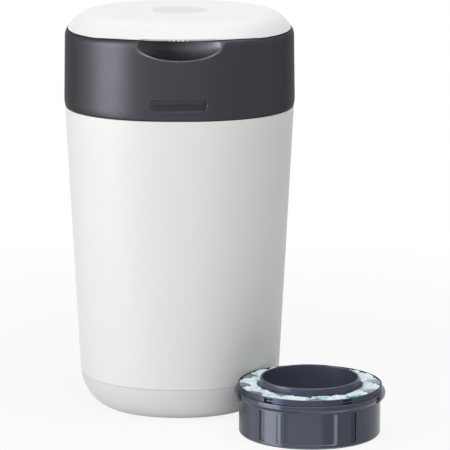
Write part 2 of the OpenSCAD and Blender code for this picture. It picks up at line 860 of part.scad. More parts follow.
module click_ring() {
    pitch = 360 / click_teeth;
    root = click_r - click_tooth_h;
    low = well_top_z + click_lift;
    color("gray")
    translate([0, 0, low]) linear_extrude(ring_z - low) difference() {
        polygon([for (k = [0:click_teeth - 1]) each
            [[root * cos(k * pitch), root * sin(k * pitch)],
             [click_r * cos((k + 0.9) * pitch), click_r * sin((k + 0.9) * pitch)]]]);
        circle(cradle_flange_r + 2 * fit);
    }
}

// ---- throat grips ----

// a petal that lets a nappy down and springs shut behind it; it points from its pin to the axis
module throat_grip() {
    knuckle_l = grip_half - grip_middle;
    tip = grip_axis_r - 7;
    tip_half = 9.5;
    waist = 34;
    neck = 7;
    under = grip_knuckle_r - grip_t;
    rib = [38, 1.6, 2.4];
    rib_pitch = 10;
    difference() {
        translate([grip_axis_r, 0, grip_axis_z]) rotate([0, -grip_slope, 0]) {
            for (side = [-1, 1]) translate([0, side * (grip_half + grip_middle) / 2, 0])
                rotate([90, 0, 0]) cylinder(r = grip_knuckle_r, h = knuckle_l, center = true);
            translate([0, 0, under]) linear_extrude(grip_t) difference() {
                polygon([[0, -grip_half], [-neck, -grip_half], [-neck - 2, -grip_wide],
                    [-waist, -grip_wide], [3 - tip, -tip_half], [-tip, 0], [3 - tip, tip_half],
                    [-waist, grip_wide], [-neck - 2, grip_wide], [-neck, grip_half], [0, grip_half]]);
                translate([-grip_pin_r - 2.9, -grip_middle]) square([6, 2 * grip_middle]);
            }
            for (k = [-1:1]) translate([-neck - past - rib[0], rib_pitch * k - rib[1] / 2,
                under - rib[2] + 0.2]) cube([k == 0 ? rib[0] : rib[0] - 4, rib[1], rib[2]]);
        }
        grip_rod(grip_pin_r + pin_run, grip_half + past);
    }
}

module throat_grip_at(a) {
    color("darkslategray") rotate(a) throat_grip();
}

// ---- cassette ----

module cassette_at() {
    rotate(-cassette_bearing) translate([stand_off, 0, 0]) rotate(cassette_bearing - cassette_turn)
        children();
}

// a wedge about the -Y direction, half angles a0 near the axis side and a1 outside
function wedge(r0, a0, r1, a1) = let (far = 2 * cassette_lug_r) [
    [r0 * sin(a0), -r0 * cos(a0)], [r1 * sin(a1), -r1 * cos(a1)], [far * sin(a1), -far * cos(a1)],
    [-far * sin(a1), -far * cos(a1)], [-r1 * sin(a1), -r1 * cos(a1)], [-r0 * sin(a0), -r0 * cos(a0)]];

module cassette_cup() {
    w = cassette_wall;
    r = cassette_cup_r;
    lip = cassette_lip_r - lip_round;
    foot_round = 3;
    core_gap = core_bore_r + cassette_wall + fit;
    color("slategray")
    cassette_at() difference() {
        union() {
            rotate_extrude() polygon(concat(
                [[core_gap, 0]],
                arc(r - foot_round, foot_round, foot_round, foot_round, -90, 0, 5),
                [[r, lip_low_z - past], [lip, lip_low_z]],
                arc(lip, lip_low_z + lip_round, lip_round, lip_round, -60, 0, 3),
                arc(lip, cassette_lip_z - lip_round, lip_round, lip_round, 0, 90, 3),
                [[r - w, cassette_lip_z], [r - w, 2 * w], [r - 2 * w, w], [core_gap, w]]));
            cassette_lugs();
        }
        around(2) {
            wall_cut(0.9, 21, 26);
            for (side = [-1, 1]) rotate(40 * side) wall_cut(1.3, 3, 3);
        }
    }
}

// a shallow cut in the cup's wall, a0 degrees to each side at its floor and a1 at the wall
module wall_cut(deep, a0, a1) {
    low = 5;
    floor_r = cassette_cup_r - deep;
    translate([0, 0, low]) linear_extrude(lip_low_z - 3.5 - low) difference() {
        polygon(wedge(floor_r - 0.1, a0, cassette_cup_r + 0.1, a1));
        circle(floor_r);
    }
}

// the two lugs that the cradle turns the cassette by
module cassette_lugs() {
    root = cassette_cup_r - past;
    high = cassette_lip_z - sink;
    low_cut = 3;
    high_cut = 2;
    around(2, 90) intersection() {
        rotate_extrude() polygon([
            [root, lug_low_z], [cassette_lug_r - low_cut, lug_low_z], [cassette_lug_r, lug_low_z + low_cut],
            [cassette_lug_r, high - high_cut], [cassette_lug_r - high_cut, high], [root, high]]);
        linear_extrude(cassette_h) polygon(wedge(past, lug_half, 2 * past, lug_half));
    }
}

// a band round the rim, a plug inside the cup, and fingers over the film
module cassette_top_ring() {
    top = cassette_ring_z;
    band_in = cassette_ring_r - 2.6;
    plug_in = plug_r - 1.8;
    step = top - 2.4;
    color("lightslategray")
    cassette_at() difference() {
        union() {
            rotate_extrude() polygon([
                [plug_in, cassette_lip_z - plug_deep], [plug_r, cassette_lip_z - plug_deep],
                [plug_r, cassette_lip_z], [cassette_ring_r, cassette_lip_z],
                [cassette_ring_r, top - 1], [cassette_ring_r - 1, top], [band_in + 0.8, top],
                [band_in, top - 0.8], [band_in, step], [plug_in, step]]);
            around(film_fingers, 8) film_finger(plug_in);
        }
        around(2) for (side = [-1, 1]) rotate(32.5 * side) snap_window();
    }
}

// a snap window in the ring's rim, with the tongue that locks in it
module snap_window() {
    window = [10, 3.6, 4.4];
    tongue = [6.5, 2.6, 1.4];
    translate([0, -cassette_ring_r, cassette_lip_z]) difference() {
        translate([-window[0] / 2, -2, -past]) cube([window[0], window[1], window[2] + past]);
        translate([window[0] / 2 + past - tongue[0], -past, 1.6]) cube(tongue);
    }
}

// a tab that reaches in over the film and holds it down
module film_finger(root) {
    root_half = 8.5;
    tip_half = 3.5;
    reach = 11.5;
    translate([0, 0, cassette_ring_z - finger_drop]) linear_extrude(finger_t) polygon([
        [root + 0.9, -root_half], [root - 0.7 * reach, -0.75 * root_half], [root - reach, -tip_half],
        [root - reach, tip_half], [root - 0.7 * reach, 0.75 * root_half], [root + 0.9, root_half]]);
}

module cassette_core() {
    r0 = core_bore_r;
    r1 = core_bore_r + cassette_wall;
    top = cassette_h;
    flare = r1 + 3.4;
    collar = r1 + 0.5;
    flare_z = top - 12.5;
    color("slategray")
    cassette_at() rotate_extrude() polygon([
        [r0, sink], [r1, sink], [r1, flare_z - 2.5], [flare, flare_z], [flare, flare_z + 1.2],
        [collar, flare_z + 3], [collar, top - 1], [collar - 0.7, top - 0.2],
        [r1 - 0.8, top], [r0 + 0.4, top - 0.6], [r0, top - 2]]);
}

module cassette_film() {
    r0 = core_bore_r + cassette_wall + 4;
    r1 = plug_r - 2.2;
    top = cassette_ring_z - finger_drop - fit;
    low = cassette_wall + fit;
    edge = 2;
    color("lightcyan")
    cassette_at() rotate_extrude() polygon([
        [r0, low], [r1 - edge, low], [r1, low + edge], [r1, top - edge], [r1 - edge, top],
        [r0 + 1, top], [r0, top - 1]]);
}

tub_shell();
base_cap();
foot_pads();
head_hinge_pin();
head_shell();
badge_plate();
cassette_well();
well_screws();
click_spring();
grip_carrier();
grip_pins();
grip_springs();
cutter_guard();
cutter_blade();
lid_hinge_pin();
lid_shell();
lid_liner();
lid_seal();
cassette_cradle();
twist_ring();
click_ring();
throat_grip_at(-90);  // throat_grip_front
throat_grip_at(0);  // throat_grip_right
throat_grip_at(90);  // throat_grip_back
throat_grip_at(180);  // throat_grip_left
cassette_cup();
cassette_top_ring();
cassette_core();
cassette_film();
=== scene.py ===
# %% [markdown]
# # A nappy bin, dressed piece by piece
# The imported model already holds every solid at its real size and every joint. What it lacks is
# the look of moulded plastic, so most pieces that show are rebuilt here with smoother curves and
# small roundings, and each stands in for the solid it replaces.

# %% Load the frame
import math

import bmesh
import bpy
from mathutils import Matrix, Vector, noise


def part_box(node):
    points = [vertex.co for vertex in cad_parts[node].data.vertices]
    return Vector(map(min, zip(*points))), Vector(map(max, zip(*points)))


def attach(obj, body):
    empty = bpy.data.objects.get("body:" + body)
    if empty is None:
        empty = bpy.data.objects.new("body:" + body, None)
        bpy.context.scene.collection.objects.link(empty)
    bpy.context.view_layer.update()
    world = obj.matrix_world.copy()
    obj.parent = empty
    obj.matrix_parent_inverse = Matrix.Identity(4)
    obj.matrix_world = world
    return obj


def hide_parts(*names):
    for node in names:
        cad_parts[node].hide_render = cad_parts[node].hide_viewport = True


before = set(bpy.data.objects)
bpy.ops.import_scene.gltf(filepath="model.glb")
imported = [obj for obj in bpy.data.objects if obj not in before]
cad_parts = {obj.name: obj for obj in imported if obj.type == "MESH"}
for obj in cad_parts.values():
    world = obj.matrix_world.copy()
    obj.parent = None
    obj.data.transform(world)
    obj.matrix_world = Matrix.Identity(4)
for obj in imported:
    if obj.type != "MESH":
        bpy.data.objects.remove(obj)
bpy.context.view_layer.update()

# %% [markdown]
# ## Sizes
# Sizes are in millimetres and become metres at the last moment. The outer ones are read from the
# frame, so a piece can't drift away from its solid.

# %% Sizes read from the frame
MM = 0.001


def mm_box(node):
    """Lowest and highest corners of a solid, in millimetres."""
    low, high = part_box(node)
    return low / MM, high / MM


tub_r = mm_box("tub_shell")[1].x
seam_z = mm_box("base_cap")[1].z
head_r = mm_box("head_shell")[1].x
lid_r = mm_box("lid_shell")[1].x
lid_top = mm_box("lid_shell")[1].z
core_low, core_high = mm_box("cassette_core")
cassette_middle = (core_low + core_high) / 2
print(f"tub {2 * tub_r:.1f}, head {2 * head_r:.1f}, lid {2 * lid_r:.1f} mm wide, top at {lid_top:.1f} mm")

# %% [markdown]
# ## The camera
# A long lens from far off keeps the sides of the bin nearly parallel. The bin stands left of the
# middle: the camera stands a little to its right, and a small lens shift does the rest.

# %% Camera
CAMERA_PLACE = (26.6, -3447, 920.5)
CAMERA_DOWN = 0.203
CAMERA_SHIFT = 0.05
LENS_LENGTH = 240
SENSOR_WIDTH = 36
VIEW_END = 30


def add_object(name, data):
    thing = bpy.data.objects.new(name, data)
    bpy.context.scene.collection.objects.link(thing)
    return thing


camera_data = bpy.data.cameras.new("camera")
camera_data.sensor_width = SENSOR_WIDTH
camera_data.lens = LENS_LENGTH
camera_data.clip_end = VIEW_END
camera_data.shift_x = CAMERA_SHIFT
camera = add_object("camera", camera_data)
camera.location = Vector(CAMERA_PLACE) * MM
camera.rotation_euler = (math.pi / 2 - CAMERA_DOWN, 0, 0)
bpy.context.scene.camera = camera
print("camera", tuple(round(c, 3) for c in camera.location))

# %% [markdown]
# ## A wire for shader maths
# Node graphs are hard to read as lists of links. A socket wrapped in a small class lets
# `1 - mask * 0.3` add its own Math nodes. Reflected forms let the plain number come first.

# %% Wire
class Wire:
    """A socket that can be added, subtracted and multiplied like a number."""

    def __init__(self, bench, socket):
        self.bench = bench
        self.socket = socket

    def maths(self, operation, *values):
        return self.bench.node("Math", {"operation": operation}, dict(enumerate(values)))

    def __add__(self, other):
        return self.maths("ADD", self, other)

    __radd__ = __add__

    def __sub__(self, other):
        return self.maths("SUBTRACT", self, other)

    def __rsub__(self, other):
        return self.maths("SUBTRACT", other, self)

    def __mul__(self, other):
        return self.maths("MULTIPLY", self, other)

    __rmul__ = __mul__


print("wire ready")

# %% [markdown]
# ## A bench for nodes
# Every other kind of node comes from one method, which takes its type, its settings and what goes
# into its sockets. A material and the world both hold a node tree, so one class serves both. Masks
# made from places let a finish change along a piece.

# %% Bench
class Bench:
    """A new material, or a new world, and its node tree."""

    def __init__(self, name, shelf=bpy.data.materials):
        self.holder = shelf.new(name)
        self.holder.use_nodes = True
        self.tree = self.holder.node_tree
        self.tree.nodes.clear()

    def plug(self, socket, value):
        if isinstance(value, Wire):
            self.tree.links.new(value.socket, socket)
        else:
            socket.default_value = value

    def node(self, kind, settings=None, inputs=None, output=0):
        """Adds a node: its settings first, then its values and wires."""
        new = self.tree.nodes.new("ShaderNode" + kind)
        for key, value in (settings or {}).items():
            if key == "stops":
                ramp = new.color_ramp.elements
                while len(ramp) < len(value):
                    ramp.new(0.5)
                for stop, (place, colour) in zip(ramp, value):
                    stop.position = place
                    stop.color = colour
            else:
                setattr(new, key, value)
        for key, value in (inputs or {}).items():
            self.plug(new.inputs[key], value)
        return Wire(self, new.outputs[output]) if len(new.outputs) else None

    def mix(self, factor, first, second):
        return self.node("Mix", {"data_type": "RGBA"}, {0: factor, 6: first, 7: second}, 2)

    def place(self):
        return self.node("TexCoord", output="Object")

    def noise(self, scale, detail=2.0, roughness=0.5, vector=None):
        return self.node("TexNoise", None, {
            "Vector": vector or self.place(), "Scale": scale, "Detail": detail, "Roughness": roughness})

    def bump(self, height, distance, strength, under=None):
        """Bends the normal by a height; the distance is in millimetres."""
        inputs = {"Strength": strength, "Distance": distance * MM, "Height": height}
        return self.node("Bump", None, inputs | ({"Normal": under} if under else {}))

    def reach(self, x, y):
        """Distance from an upright axis, in millimetres."""
        flat = self.node("VectorMath", {"operation": "MULTIPLY"}, {0: self.place(), 1: (1, 1, 0)})
        return (1 / MM) * self.node("VectorMath", {"operation": "DISTANCE"},
                                    {0: flat, 1: (x * MM, y * MM, 0)}, 1)

    def place_parts(self):
        """The three Object coordinates, in millimetres."""
        return [(1 / MM) * self.node("SeparateXYZ", None, {0: self.place()}, axis)
                for axis in range(3)]

    def ramp(self, value, low, high, first=0, last=1):
        """Runs smoothly from the first value at one limit to the last at the other."""
        up = low < high
        return self.node("MapRange", {"interpolation_type": "SMOOTHSTEP"},
                         {"Value": value, "From Min": min(low, high), "From Max": max(low, high),
                          "To Min": first if up else last, "To Max": last if up else first})

    def band(self, value, low, high, soft):
        """1 where the value lies between two limits, 0 elsewhere, with soft edges."""
        up, down = (self.node("MapRange", None,
                              {"Value": value, "From Min": limit - soft, "From Max": limit + soft})
                    for limit in (low, high))
        return up * (1 - down)

    def finish(self, **sockets):
        """The shader itself; a socket's name is written in small letters."""
        inputs = {key.replace("_", " ").title().replace("Ior", "IOR"): sockets[key] for key in sockets}
        shader = self.node("BsdfPrincipled", None, inputs)
        self.node("OutputMaterial", None, {"Surface": shader})
        return self.holder


print("bench ready")

# %% [markdown]
# ## Colours as they look
# A screen shows levels from 0 to 255, but a shader works in linear light. One formula between them
# lets each finish be written in the levels that it should show.

# %% Screen colours
def screen(red, green, blue):
    """A colour as it reads on a screen, 0 to 255, made linear."""
    def linear(c):
        c /= 255
        return c / 12.92 if c <= 0.04045 else ((c + 0.055) / 1.055) ** 2.4
    return (linear(red), linear(green), linear(blue), 1)


print("mid grey is", round(screen(128, 128, 128)[0], 3), "in linear light")

# %% [markdown]
# ## Moulded plastic
# Moulded plastic is never quite even: the mould leaves a fine grain, the wall sinks and swells a
# little, and handling leaves the gloss patchy. One recipe gives all the plastics. The dark greys
# are partly metallic, for their sparkle, and a low edge tint keeps them dark at a slant.

# %% Plastic finishes
GRAIN = 0.35


def plastic(name, colour, roughness, grain_depth=0.012, drift=0.04, level=0.5, coat=0.0,
            flake=0.0, edge=1.0, marks=None):
    """Drift is how far the tone wanders, flake how metallic it is; marks may tone it in places, or paint
    light and shade on it.
    """
    bench = Bench(name)
    clouds = bench.noise(9, 3)
    patches = bench.noise(55, 4, 0.6)
    grains = bench.noise(1 / MM / GRAIN, 2, 0.6)
    sinks = bench.noise(16, 1)
    darker = tuple(c * (1 - 2 * drift) for c in colour[:3]) + (1,)
    tone = bench.mix(clouds * 0.7 + patches * 0.3, darker, colour)
    if marks:
        tone = marks(bench, tone)
    skin = bench.bump(grains, grain_depth, 0.5, under=bench.bump(sinks, 0.4, 0.25))
    return bench.finish(base_color=tone, roughness=roughness - 0.05 + patches * 0.1, normal=skin,
                        specular_ior_level=level, coat_weight=coat, coat_roughness=0.12, metallic=flake,
                        specular_tint=(edge, edge, edge, 1))


tub_white = plastic("tub_white", screen(236, 236, 235), 0.46, drift=0.008, level=0.3)
base_white = plastic("base_white", screen(226, 226, 226), 0.46, drift=0.008, level=0.3)
badge_grey = plastic("badge_grey", screen(54, 54, 60), 0.30, grain_depth=0.004, flake=0.6, edge=0.12)
works_grey = plastic("works_grey", screen(92, 93, 101), 0.45)
dial_grey = plastic("dial_grey", screen(120, 121, 130), 0.42)
grip_grey = plastic("grip_grey", screen(66, 66, 72), 0.48)
core_grey = plastic("core_grey", screen(80, 83, 102), 0.24, grain_depth=0.003, drift=0.06, flake=0.2,
                    edge=0.5)
lobe_lilac = plastic("lobe_lilac", screen(124, 125, 143), 0.26, grain_depth=0.004)
print("plain plastics ready")

# %% [markdown]
# ## Rubber and steel
# The pads and the seal are dull rubber. Pins, screws and springs are drawn steel, whose fine lines
# run along the wire, so the noise is stretched along one direction.

# %% Rubber and steel finishes
def rubber(name, colour):
    bench = Bench(name)
    dust = bench.noise(120, 3)
    pores = bench.noise(2500, 2)
    skin = bench.bump(pores, 0.03, 0.6)
    tone = bench.mix(dust * 0.3, colour, screen(120, 118, 114))
    return bench.finish(base_color=tone, roughness=0.8 - dust * 0.15, normal=skin, specular_ior_level=0.3)


def steel(name, stretch, colour=screen(178, 178, 182)):
    bench = Bench(name)
    drawn = bench.node("VectorMath", {"operation": "MULTIPLY"}, {0: bench.place(), 1: stretch})
    lines = bench.noise(1400, 2, 0.5, drawn)
    stains = bench.noise(160, 3)
    skin = bench.bump(lines, 0.01, 0.3)
    tone = bench.mix(stains * 0.4, colour, screen(140, 140, 146))
    return bench.finish(base_color=tone, metallic=1.0, roughness=0.24 + lines * 0.16, normal=skin)


foot_rubber = rubber("foot_rubber", screen(48, 48, 50))
seal_rubber = rubber("seal_rubber", screen(150, 150, 152))
pin_steel = steel("pin_steel", (0.05, 1, 1))
screw_steel = steel("screw_steel", (1, 1, 0.05))
spring_steel = steel("spring_steel", (1, 1, 0.4), screen(160, 160, 166))
blade_steel = steel("blade_steel", (0.1, 1, 1), screen(200, 200, 206))
print("rubber and steel ready")

# %% [markdown]
# ## Film
# The film is a thin, glossy plastic with a mint tint, and teal in places. Patches of noise choose
# between the two.

# %% Film finish
def film_finish():
    bench = Bench("film_mint")
    patches = bench.noise(62, 2, 0.5)
    wrinkles = bench.noise(420, 3, 0.6)
    stops = [(0.0, screen(0, 104, 98)), (0.33, screen(20, 140, 132)), (0.37, screen(176, 224, 224)),
             (0.46, screen(222, 238, 240)), (1.0, screen(240, 246, 250))]
    tint = bench.node("ValToRGB", {"stops": stops}, {"Fac": patches})
    skin = bench.bump(wrinkles, 0.2, 0.5)
    return bench.finish(base_color=tint, roughness=0.22 + wrinkles * 0.2, normal=skin)


film_mint = film_finish()
print("film finish ready")

# %% [markdown]
# ## From a profile to a rounded square
# The tub, the head and the lid are one kind of form: a profile carried round a rounded square.
# Lofting it would take thousands of points. It is simpler to draw the profile once, as corners with
# their roundings, and to spin it into a round pot first.

# %% Profiles
def round_off(bm, geom, width, affect, segments):
    """Bevels corners or edges into even arcs."""
    bmesh.ops.bevel(bm, geom=geom, offset=width * MM, offset_type="OFFSET", segments=segments,
                    profile=0.5, affect=affect, material=-1, clamp_overlap=True)


def draw_profile(corners):
    """Joins (radius, height, cut) corners, cut being the rounding; it closes if it starts off the axis."""
    bm = bmesh.new()
    verts = [bm.verts.new((r * MM, 0, z * MM)) for r, z, cut in corners]
    for first, second in zip(verts, verts[1:] + (verts[:1] if corners[0][0] else [])):
        bm.edges.new((first, second))
    for vert, (r, z, cut) in zip(verts, corners):
        if cut:
            round_off(bm, [vert], cut, "VERTICES", 5)
    return bm


def arc(r, z, wide, high, start, end, steps):
    """Corners along an ellipse's arc, in degrees from +r towards +z."""
    angles = [math.radians(start + (end - start) * k / steps) for k in range(steps + 1)]
    return [(r + wide * math.cos(a), z + high * math.sin(a), 0) for a in angles]


def ladder(start, end, rungs):
    """Corners spread evenly between two (radius, height) places, ends left out."""
    return [(start[0] + (end[0] - start[0]) * k / rungs, start[1] + (end[1] - start[1]) * k / rungs, 0)
            for k in range(1, rungs)]


print("a quarter arc in 4 steps has", len(arc(0, 0, 10, 10, 0, 90, 4)), "corners")

# %% [markdown]
# ## Spinning and squaring
# A whole turn is made as an eighth that is doubled three times, which is far quicker. Each vertex
# then moves outwards by how far a rounded square stands outside a circle in its direction. A power
# of 2 leaves the pot round, and a larger one squares it.

# %% Spinning and squaring
ROUND_STEPS = 240


def sweep(bm, steps, turn):
    bmesh.ops.spin(bm, geom=bm.verts[:] + bm.edges[:], cent=(0, 0, 0), axis=(0, 0, 1), dvec=(0, 0, 0),
                   angle=turn, steps=steps, use_merge=False, use_duplicate=False)
    return bm


def spin(bm, steps=ROUND_STEPS):
    """A whole turn, with its seams merged and its faces turned outwards."""
    sweep(bm, steps // 8, math.pi / 4)
    for turn in (math.pi / 4, math.pi / 2, math.pi):
        twin = bmesh.ops.duplicate(bm, geom=bm.verts[:] + bm.edges[:] + bm.faces[:])
        twin_verts = [g for g in twin["geom"] if isinstance(g, bmesh.types.BMVert)]
        bmesh.ops.rotate(bm, verts=twin_verts, cent=(0, 0, 0), matrix=Matrix.Rotation(turn, 3, "Z"))
        bmesh.ops.remove_doubles(bm, verts=bm.verts, dist=1e-6)
    bmesh.ops.recalc_face_normals(bm, faces=bm.faces)
    return bm


def square_up(bm, power_at):
    """Pushes a spun form out to a rounded square; power_at(radius, height) in millimetres."""
    for vert in bm.verts:
        r = math.hypot(vert.co.x, vert.co.y)
        if r > MM:
            power = power_at(r / MM, vert.co.z / MM)
            c = abs(vert.co.x) / r
            s = abs(vert.co.y) / r
            push = (c ** power + s ** power) ** (-1 / power)
            vert.co.x *= push
            vert.co.y *= push
    return bm


def smoothstep(low, high, value):
    """0 before the first limit, 1 past the second, and a smooth change between them."""
    t = min(1, max(0, (value - low) / (high - low)))
    return t * t * (3 - 2 * t)


print("spinning in", ROUND_STEPS, "steps")

# %% [markdown]
# ## From a form to a piece
# A form becomes a piece when it has a finish, rides on a body and says which solid it stands for.
# Its place is in its mesh, so the object itself never moves. Short helpers that take millimetres
# move, turn, thicken and soften a form.

# %% Making a piece
def move(bm, x=0, y=0, z=0):
    bmesh.ops.translate(bm, verts=bm.verts, vec=(x * MM, y * MM, z * MM))


def rotate(bm, degrees, axis="Z"):
    """Turns a whole form about an axis through the origin."""
    matrix = Matrix.Rotation(math.radians(degrees), 3, axis)
    bmesh.ops.rotate(bm, verts=bm.verts, cent=(0, 0, 0), matrix=matrix)


def thicken(bm, x=0, y=0, z=0):
    """Draws every face out by so much and turns the skin outwards."""
    grown = bmesh.ops.extrude_face_region(bm, geom=bm.faces[:])
    far_side = [g for g in grown["geom"] if isinstance(g, bmesh.types.BMVert)]
    bmesh.ops.translate(bm, verts=far_side, vec=(x * MM, y * MM, z * MM))
    bmesh.ops.recalc_face_normals(bm, faces=bm.faces)


def block(wide, deep, high):
    bm = bmesh.new()
    bmesh.ops.create_cube(bm, size=1, matrix=Matrix.Diagonal((wide * MM, deep * MM, high * MM, 1)))
    return bm


def soften(bm, width, angle=30):
    """Rounds every edge that turns by more than the angle."""
    sharp = [e for e in bm.edges if len(e.link_faces) == 2 and e.calc_face_angle() > math.radians(angle)]
    round_off(bm, sharp, width, "EDGES", 2)
    return bm


def as_mesh(bm, name):
    """Writes a form out as a mesh, and frees it."""
    mesh = bpy.data.meshes.new(name)
    bm.to_mesh(mesh)
    bm.free()
    return mesh


def gather(*parts):
    whole = bmesh.new()
    for part in parts:
        mesh = as_mesh(part, "part")
        whole.from_mesh(mesh)
        bpy.data.meshes.remove(mesh)
    return whole


def make(bm, name, finish, body, slot, *stands_for, sharp=32):
    """Turns a bmesh into a finished piece that rides on a body."""
    for face in bm.faces:
        face.smooth = True
    mesh = as_mesh(bm, name)
    mesh.set_sharp_from_angle(angle=math.radians(sharp))
    mesh.materials.append(finish)
    piece = add_object(name, mesh)
    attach(piece, body)
    for node in stands_for:
        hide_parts(node)
    print(f"{name}: {len(mesh.polygons)} faces on {body}")
    return piece


print("helpers ready")

# %% [markdown]
# ## The tub and its base cap
# The tub is a thin bucket that widens a little towards the top, so it leaves its mould. Its
# rounded bottom sits in a separate cap, with a fine line all round where the cap ends. Each is spun
# from one profile, up the outer wall and back down the inner one.

# %% Tub
HEAD_POWER = 2.3
FLOOR_POWER = 2.15
TUB_TOP = 356
BASE_FLAT = 81
LOW_R = 117.4
ROUND_H = 48
ROUND_W = LOW_R - BASE_FLAT
SKIN = 2.7
TUB_WALL = 2.6
RIM_R = head_r - 6.7
RIM_WALL = 2.4
RIM_TOP = TUB_TOP + 10

seam_gap = seam_z + 0.3
skin_w = ROUND_W - SKIN
skin_h = ROUND_H - SKIN


def bottom_angle(z, high):
    """Where an arc of the rounded bottom reaches a height, in degrees."""
    return math.degrees(math.asin((z - ROUND_H) / high))


def tub_power(r, z):
    """The tub is squarer at its top than at the floor."""
    return FLOOR_POWER + (HEAD_POWER - FLOOR_POWER) * min(1, z / TUB_TOP)


profile = [(0, SKIN, 0)]
profile += arc(BASE_FLAT, ROUND_H, skin_w, skin_h, -90, bottom_angle(seam_gap, skin_h), 10)
above_seam = arc(BASE_FLAT, ROUND_H, ROUND_W, ROUND_H, bottom_angle(seam_gap, ROUND_H), 0, 3)
profile += [above_seam[0][:2] + (0.3,)] + above_seam[1:]
profile += ladder((LOW_R, ROUND_H), (tub_r, TUB_TOP), 10)
profile += [(tub_r, TUB_TOP, 0.4), (RIM_R, TUB_TOP, 0.5), (RIM_R, RIM_TOP, 0.8)]
profile += [(RIM_R - RIM_WALL, RIM_TOP, 0.8), (RIM_R - RIM_WALL, TUB_TOP - 5, 0)]
profile += [(tub_r - TUB_WALL - 0.6, TUB_TOP - 12, 0)]
profile += ladder((tub_r - TUB_WALL - 0.6, TUB_TOP - 12), (LOW_R - TUB_WALL, ROUND_H + 6), 8)
profile += arc(BASE_FLAT, ROUND_H, skin_w - TUB_WALL, skin_h - TUB_WALL, 0, -90, 12)
profile += [(0, SKIN + TUB_WALL, 0)]
tub = square_up(spin(draw_profile(profile)), tub_power)
make(tub, "tub", tub_white, "tub", "tub_white", "tub_shell")

# %% [markdown]
# ## The base cap
# The cap wraps the bottom of the bucket up to the seam. It could be sliced off the tub, but spun
# from a profile of its own it has a rounded edge at the seam, and that edge draws the fine line.

# %% Base cap
BASE_WALL = 2.4
cap_in_h = ROUND_H - BASE_WALL
profile = [(0, 0, 0)]
profile += arc(BASE_FLAT, ROUND_H, ROUND_W, ROUND_H, -90, bottom_angle(seam_z, ROUND_H), 18)
profile[-1] = profile[-1][:2] + (0.35,)
profile += arc(BASE_FLAT, ROUND_H, ROUND_W - BASE_WALL, cap_in_h, bottom_angle(seam_z, cap_in_h), -90, 14)
profile += [(0, BASE_WALL, 0)]
cap = square_up(spin(draw_profile(profile)), tub_power)
make(cap, "base", base_white, "tub", "base_white", "base_cap")

# %% [markdown]
# ## Blocks drawn along the hinge
# Hinge ears and arms are flat outlines drawn out along the hinge, with a knuckle at one end. An
# outline is filled, drawn out and softened; the knuckle is a short spun drum on its side.

# %% Hinge helpers
HEAD_KNUCKLE = 5.5
HEAD_HINGE = (tub_r + HEAD_KNUCKLE + 0.6, TUB_TOP)
LID_KNUCKLE = 4
LID_HINGE = (head_r + 1.4, 445.6)
ARM_HALF = 13.4


def block_x(outline, low, high, cut=0.5):
    """An outline of (depth, height) points in the plane across the hinge, drawn out along X."""
    bm = bmesh.new()
    bm.faces.new([bm.verts.new((low * MM, y * MM, z * MM)) for y, z in outline])
    thicken(bm, x=high - low)
    return soften(bm, cut)


def drum_x(radius, low, high, y, z):
    corners = [(0, low, 0), (radius, low, 0.5), (radius, high, 0.5), (0, high, 0)]
    bm = spin(draw_profile(corners), 48)
    rotate(bm, 90, "Y")
    move(bm, y=y, z=z)
    return bm


def knuckled(outline, low, high, knuckle, hinge, cut=0.5):
    """A block drawn along the hinge, and its knuckle."""
    return [block_x(outline, low, high, cut), drum_x(knuckle, low, high, *hinge)]


print("depth and height of the hinges:", HEAD_HINGE, LID_HINGE)

# %% [markdown]
# ## Ears for the head's hinge
# Two ears on the back of the tub carry the pin that the head swings on. Their outline runs from
# the back wall out to the knuckle.

# %% Tub's hinge ears
ear_outline = [(tub_r - 2.4, TUB_TOP - 26), (tub_r + 2, TUB_TOP - 20),
               (HEAD_HINGE[0] + HEAD_KNUCKLE * 0.94, TUB_TOP - 2), (HEAD_HINGE[0], TUB_TOP),
               (HEAD_HINGE[0] - HEAD_KNUCKLE, TUB_TOP - 1), (tub_r - 1.4, TUB_TOP - 3)]
tub_ears = []
for low, high in ((-34, -14), (14, 34)):
    tub_ears += knuckled(ear_outline, low, high, HEAD_KNUCKLE, HEAD_HINGE)
make(gather(*tub_ears), "tub_hinge_ears", tub_white, "tub", "tub_white", "tub_shell")

# %% [markdown]
# ## The head
# The head is a deep collar with a rounded shoulder. Its deck has a round hole for the dial, so the
# form goes from round at the hole to a rounded square at the wall: the power is blended between.

# %% Head form
DECK_Z = 445
DECK_WALL = 2.5
HEAD_WALL = 2.8
HEAD_LOW = TUB_TOP + 0.4
SKIRT_ROUND = 2.2
SKIRT_HIGH = 8
SKIRT_IN = head_r - SKIRT_ROUND - HEAD_WALL
HOLE_R = 104
HOLE_FLAT = HOLE_R + 8
NECK_OUT = HOLE_R + 2.4
NECK_LOW = 426.6
TOP_R = head_r - 1.2
SHOULDER_W = 4.9
SHOULDER_H = 8
SHOULDER_TURN = 70
SHOULDER_Z = DECK_Z - SHOULDER_H * math.sin(math.radians(SHOULDER_TURN))

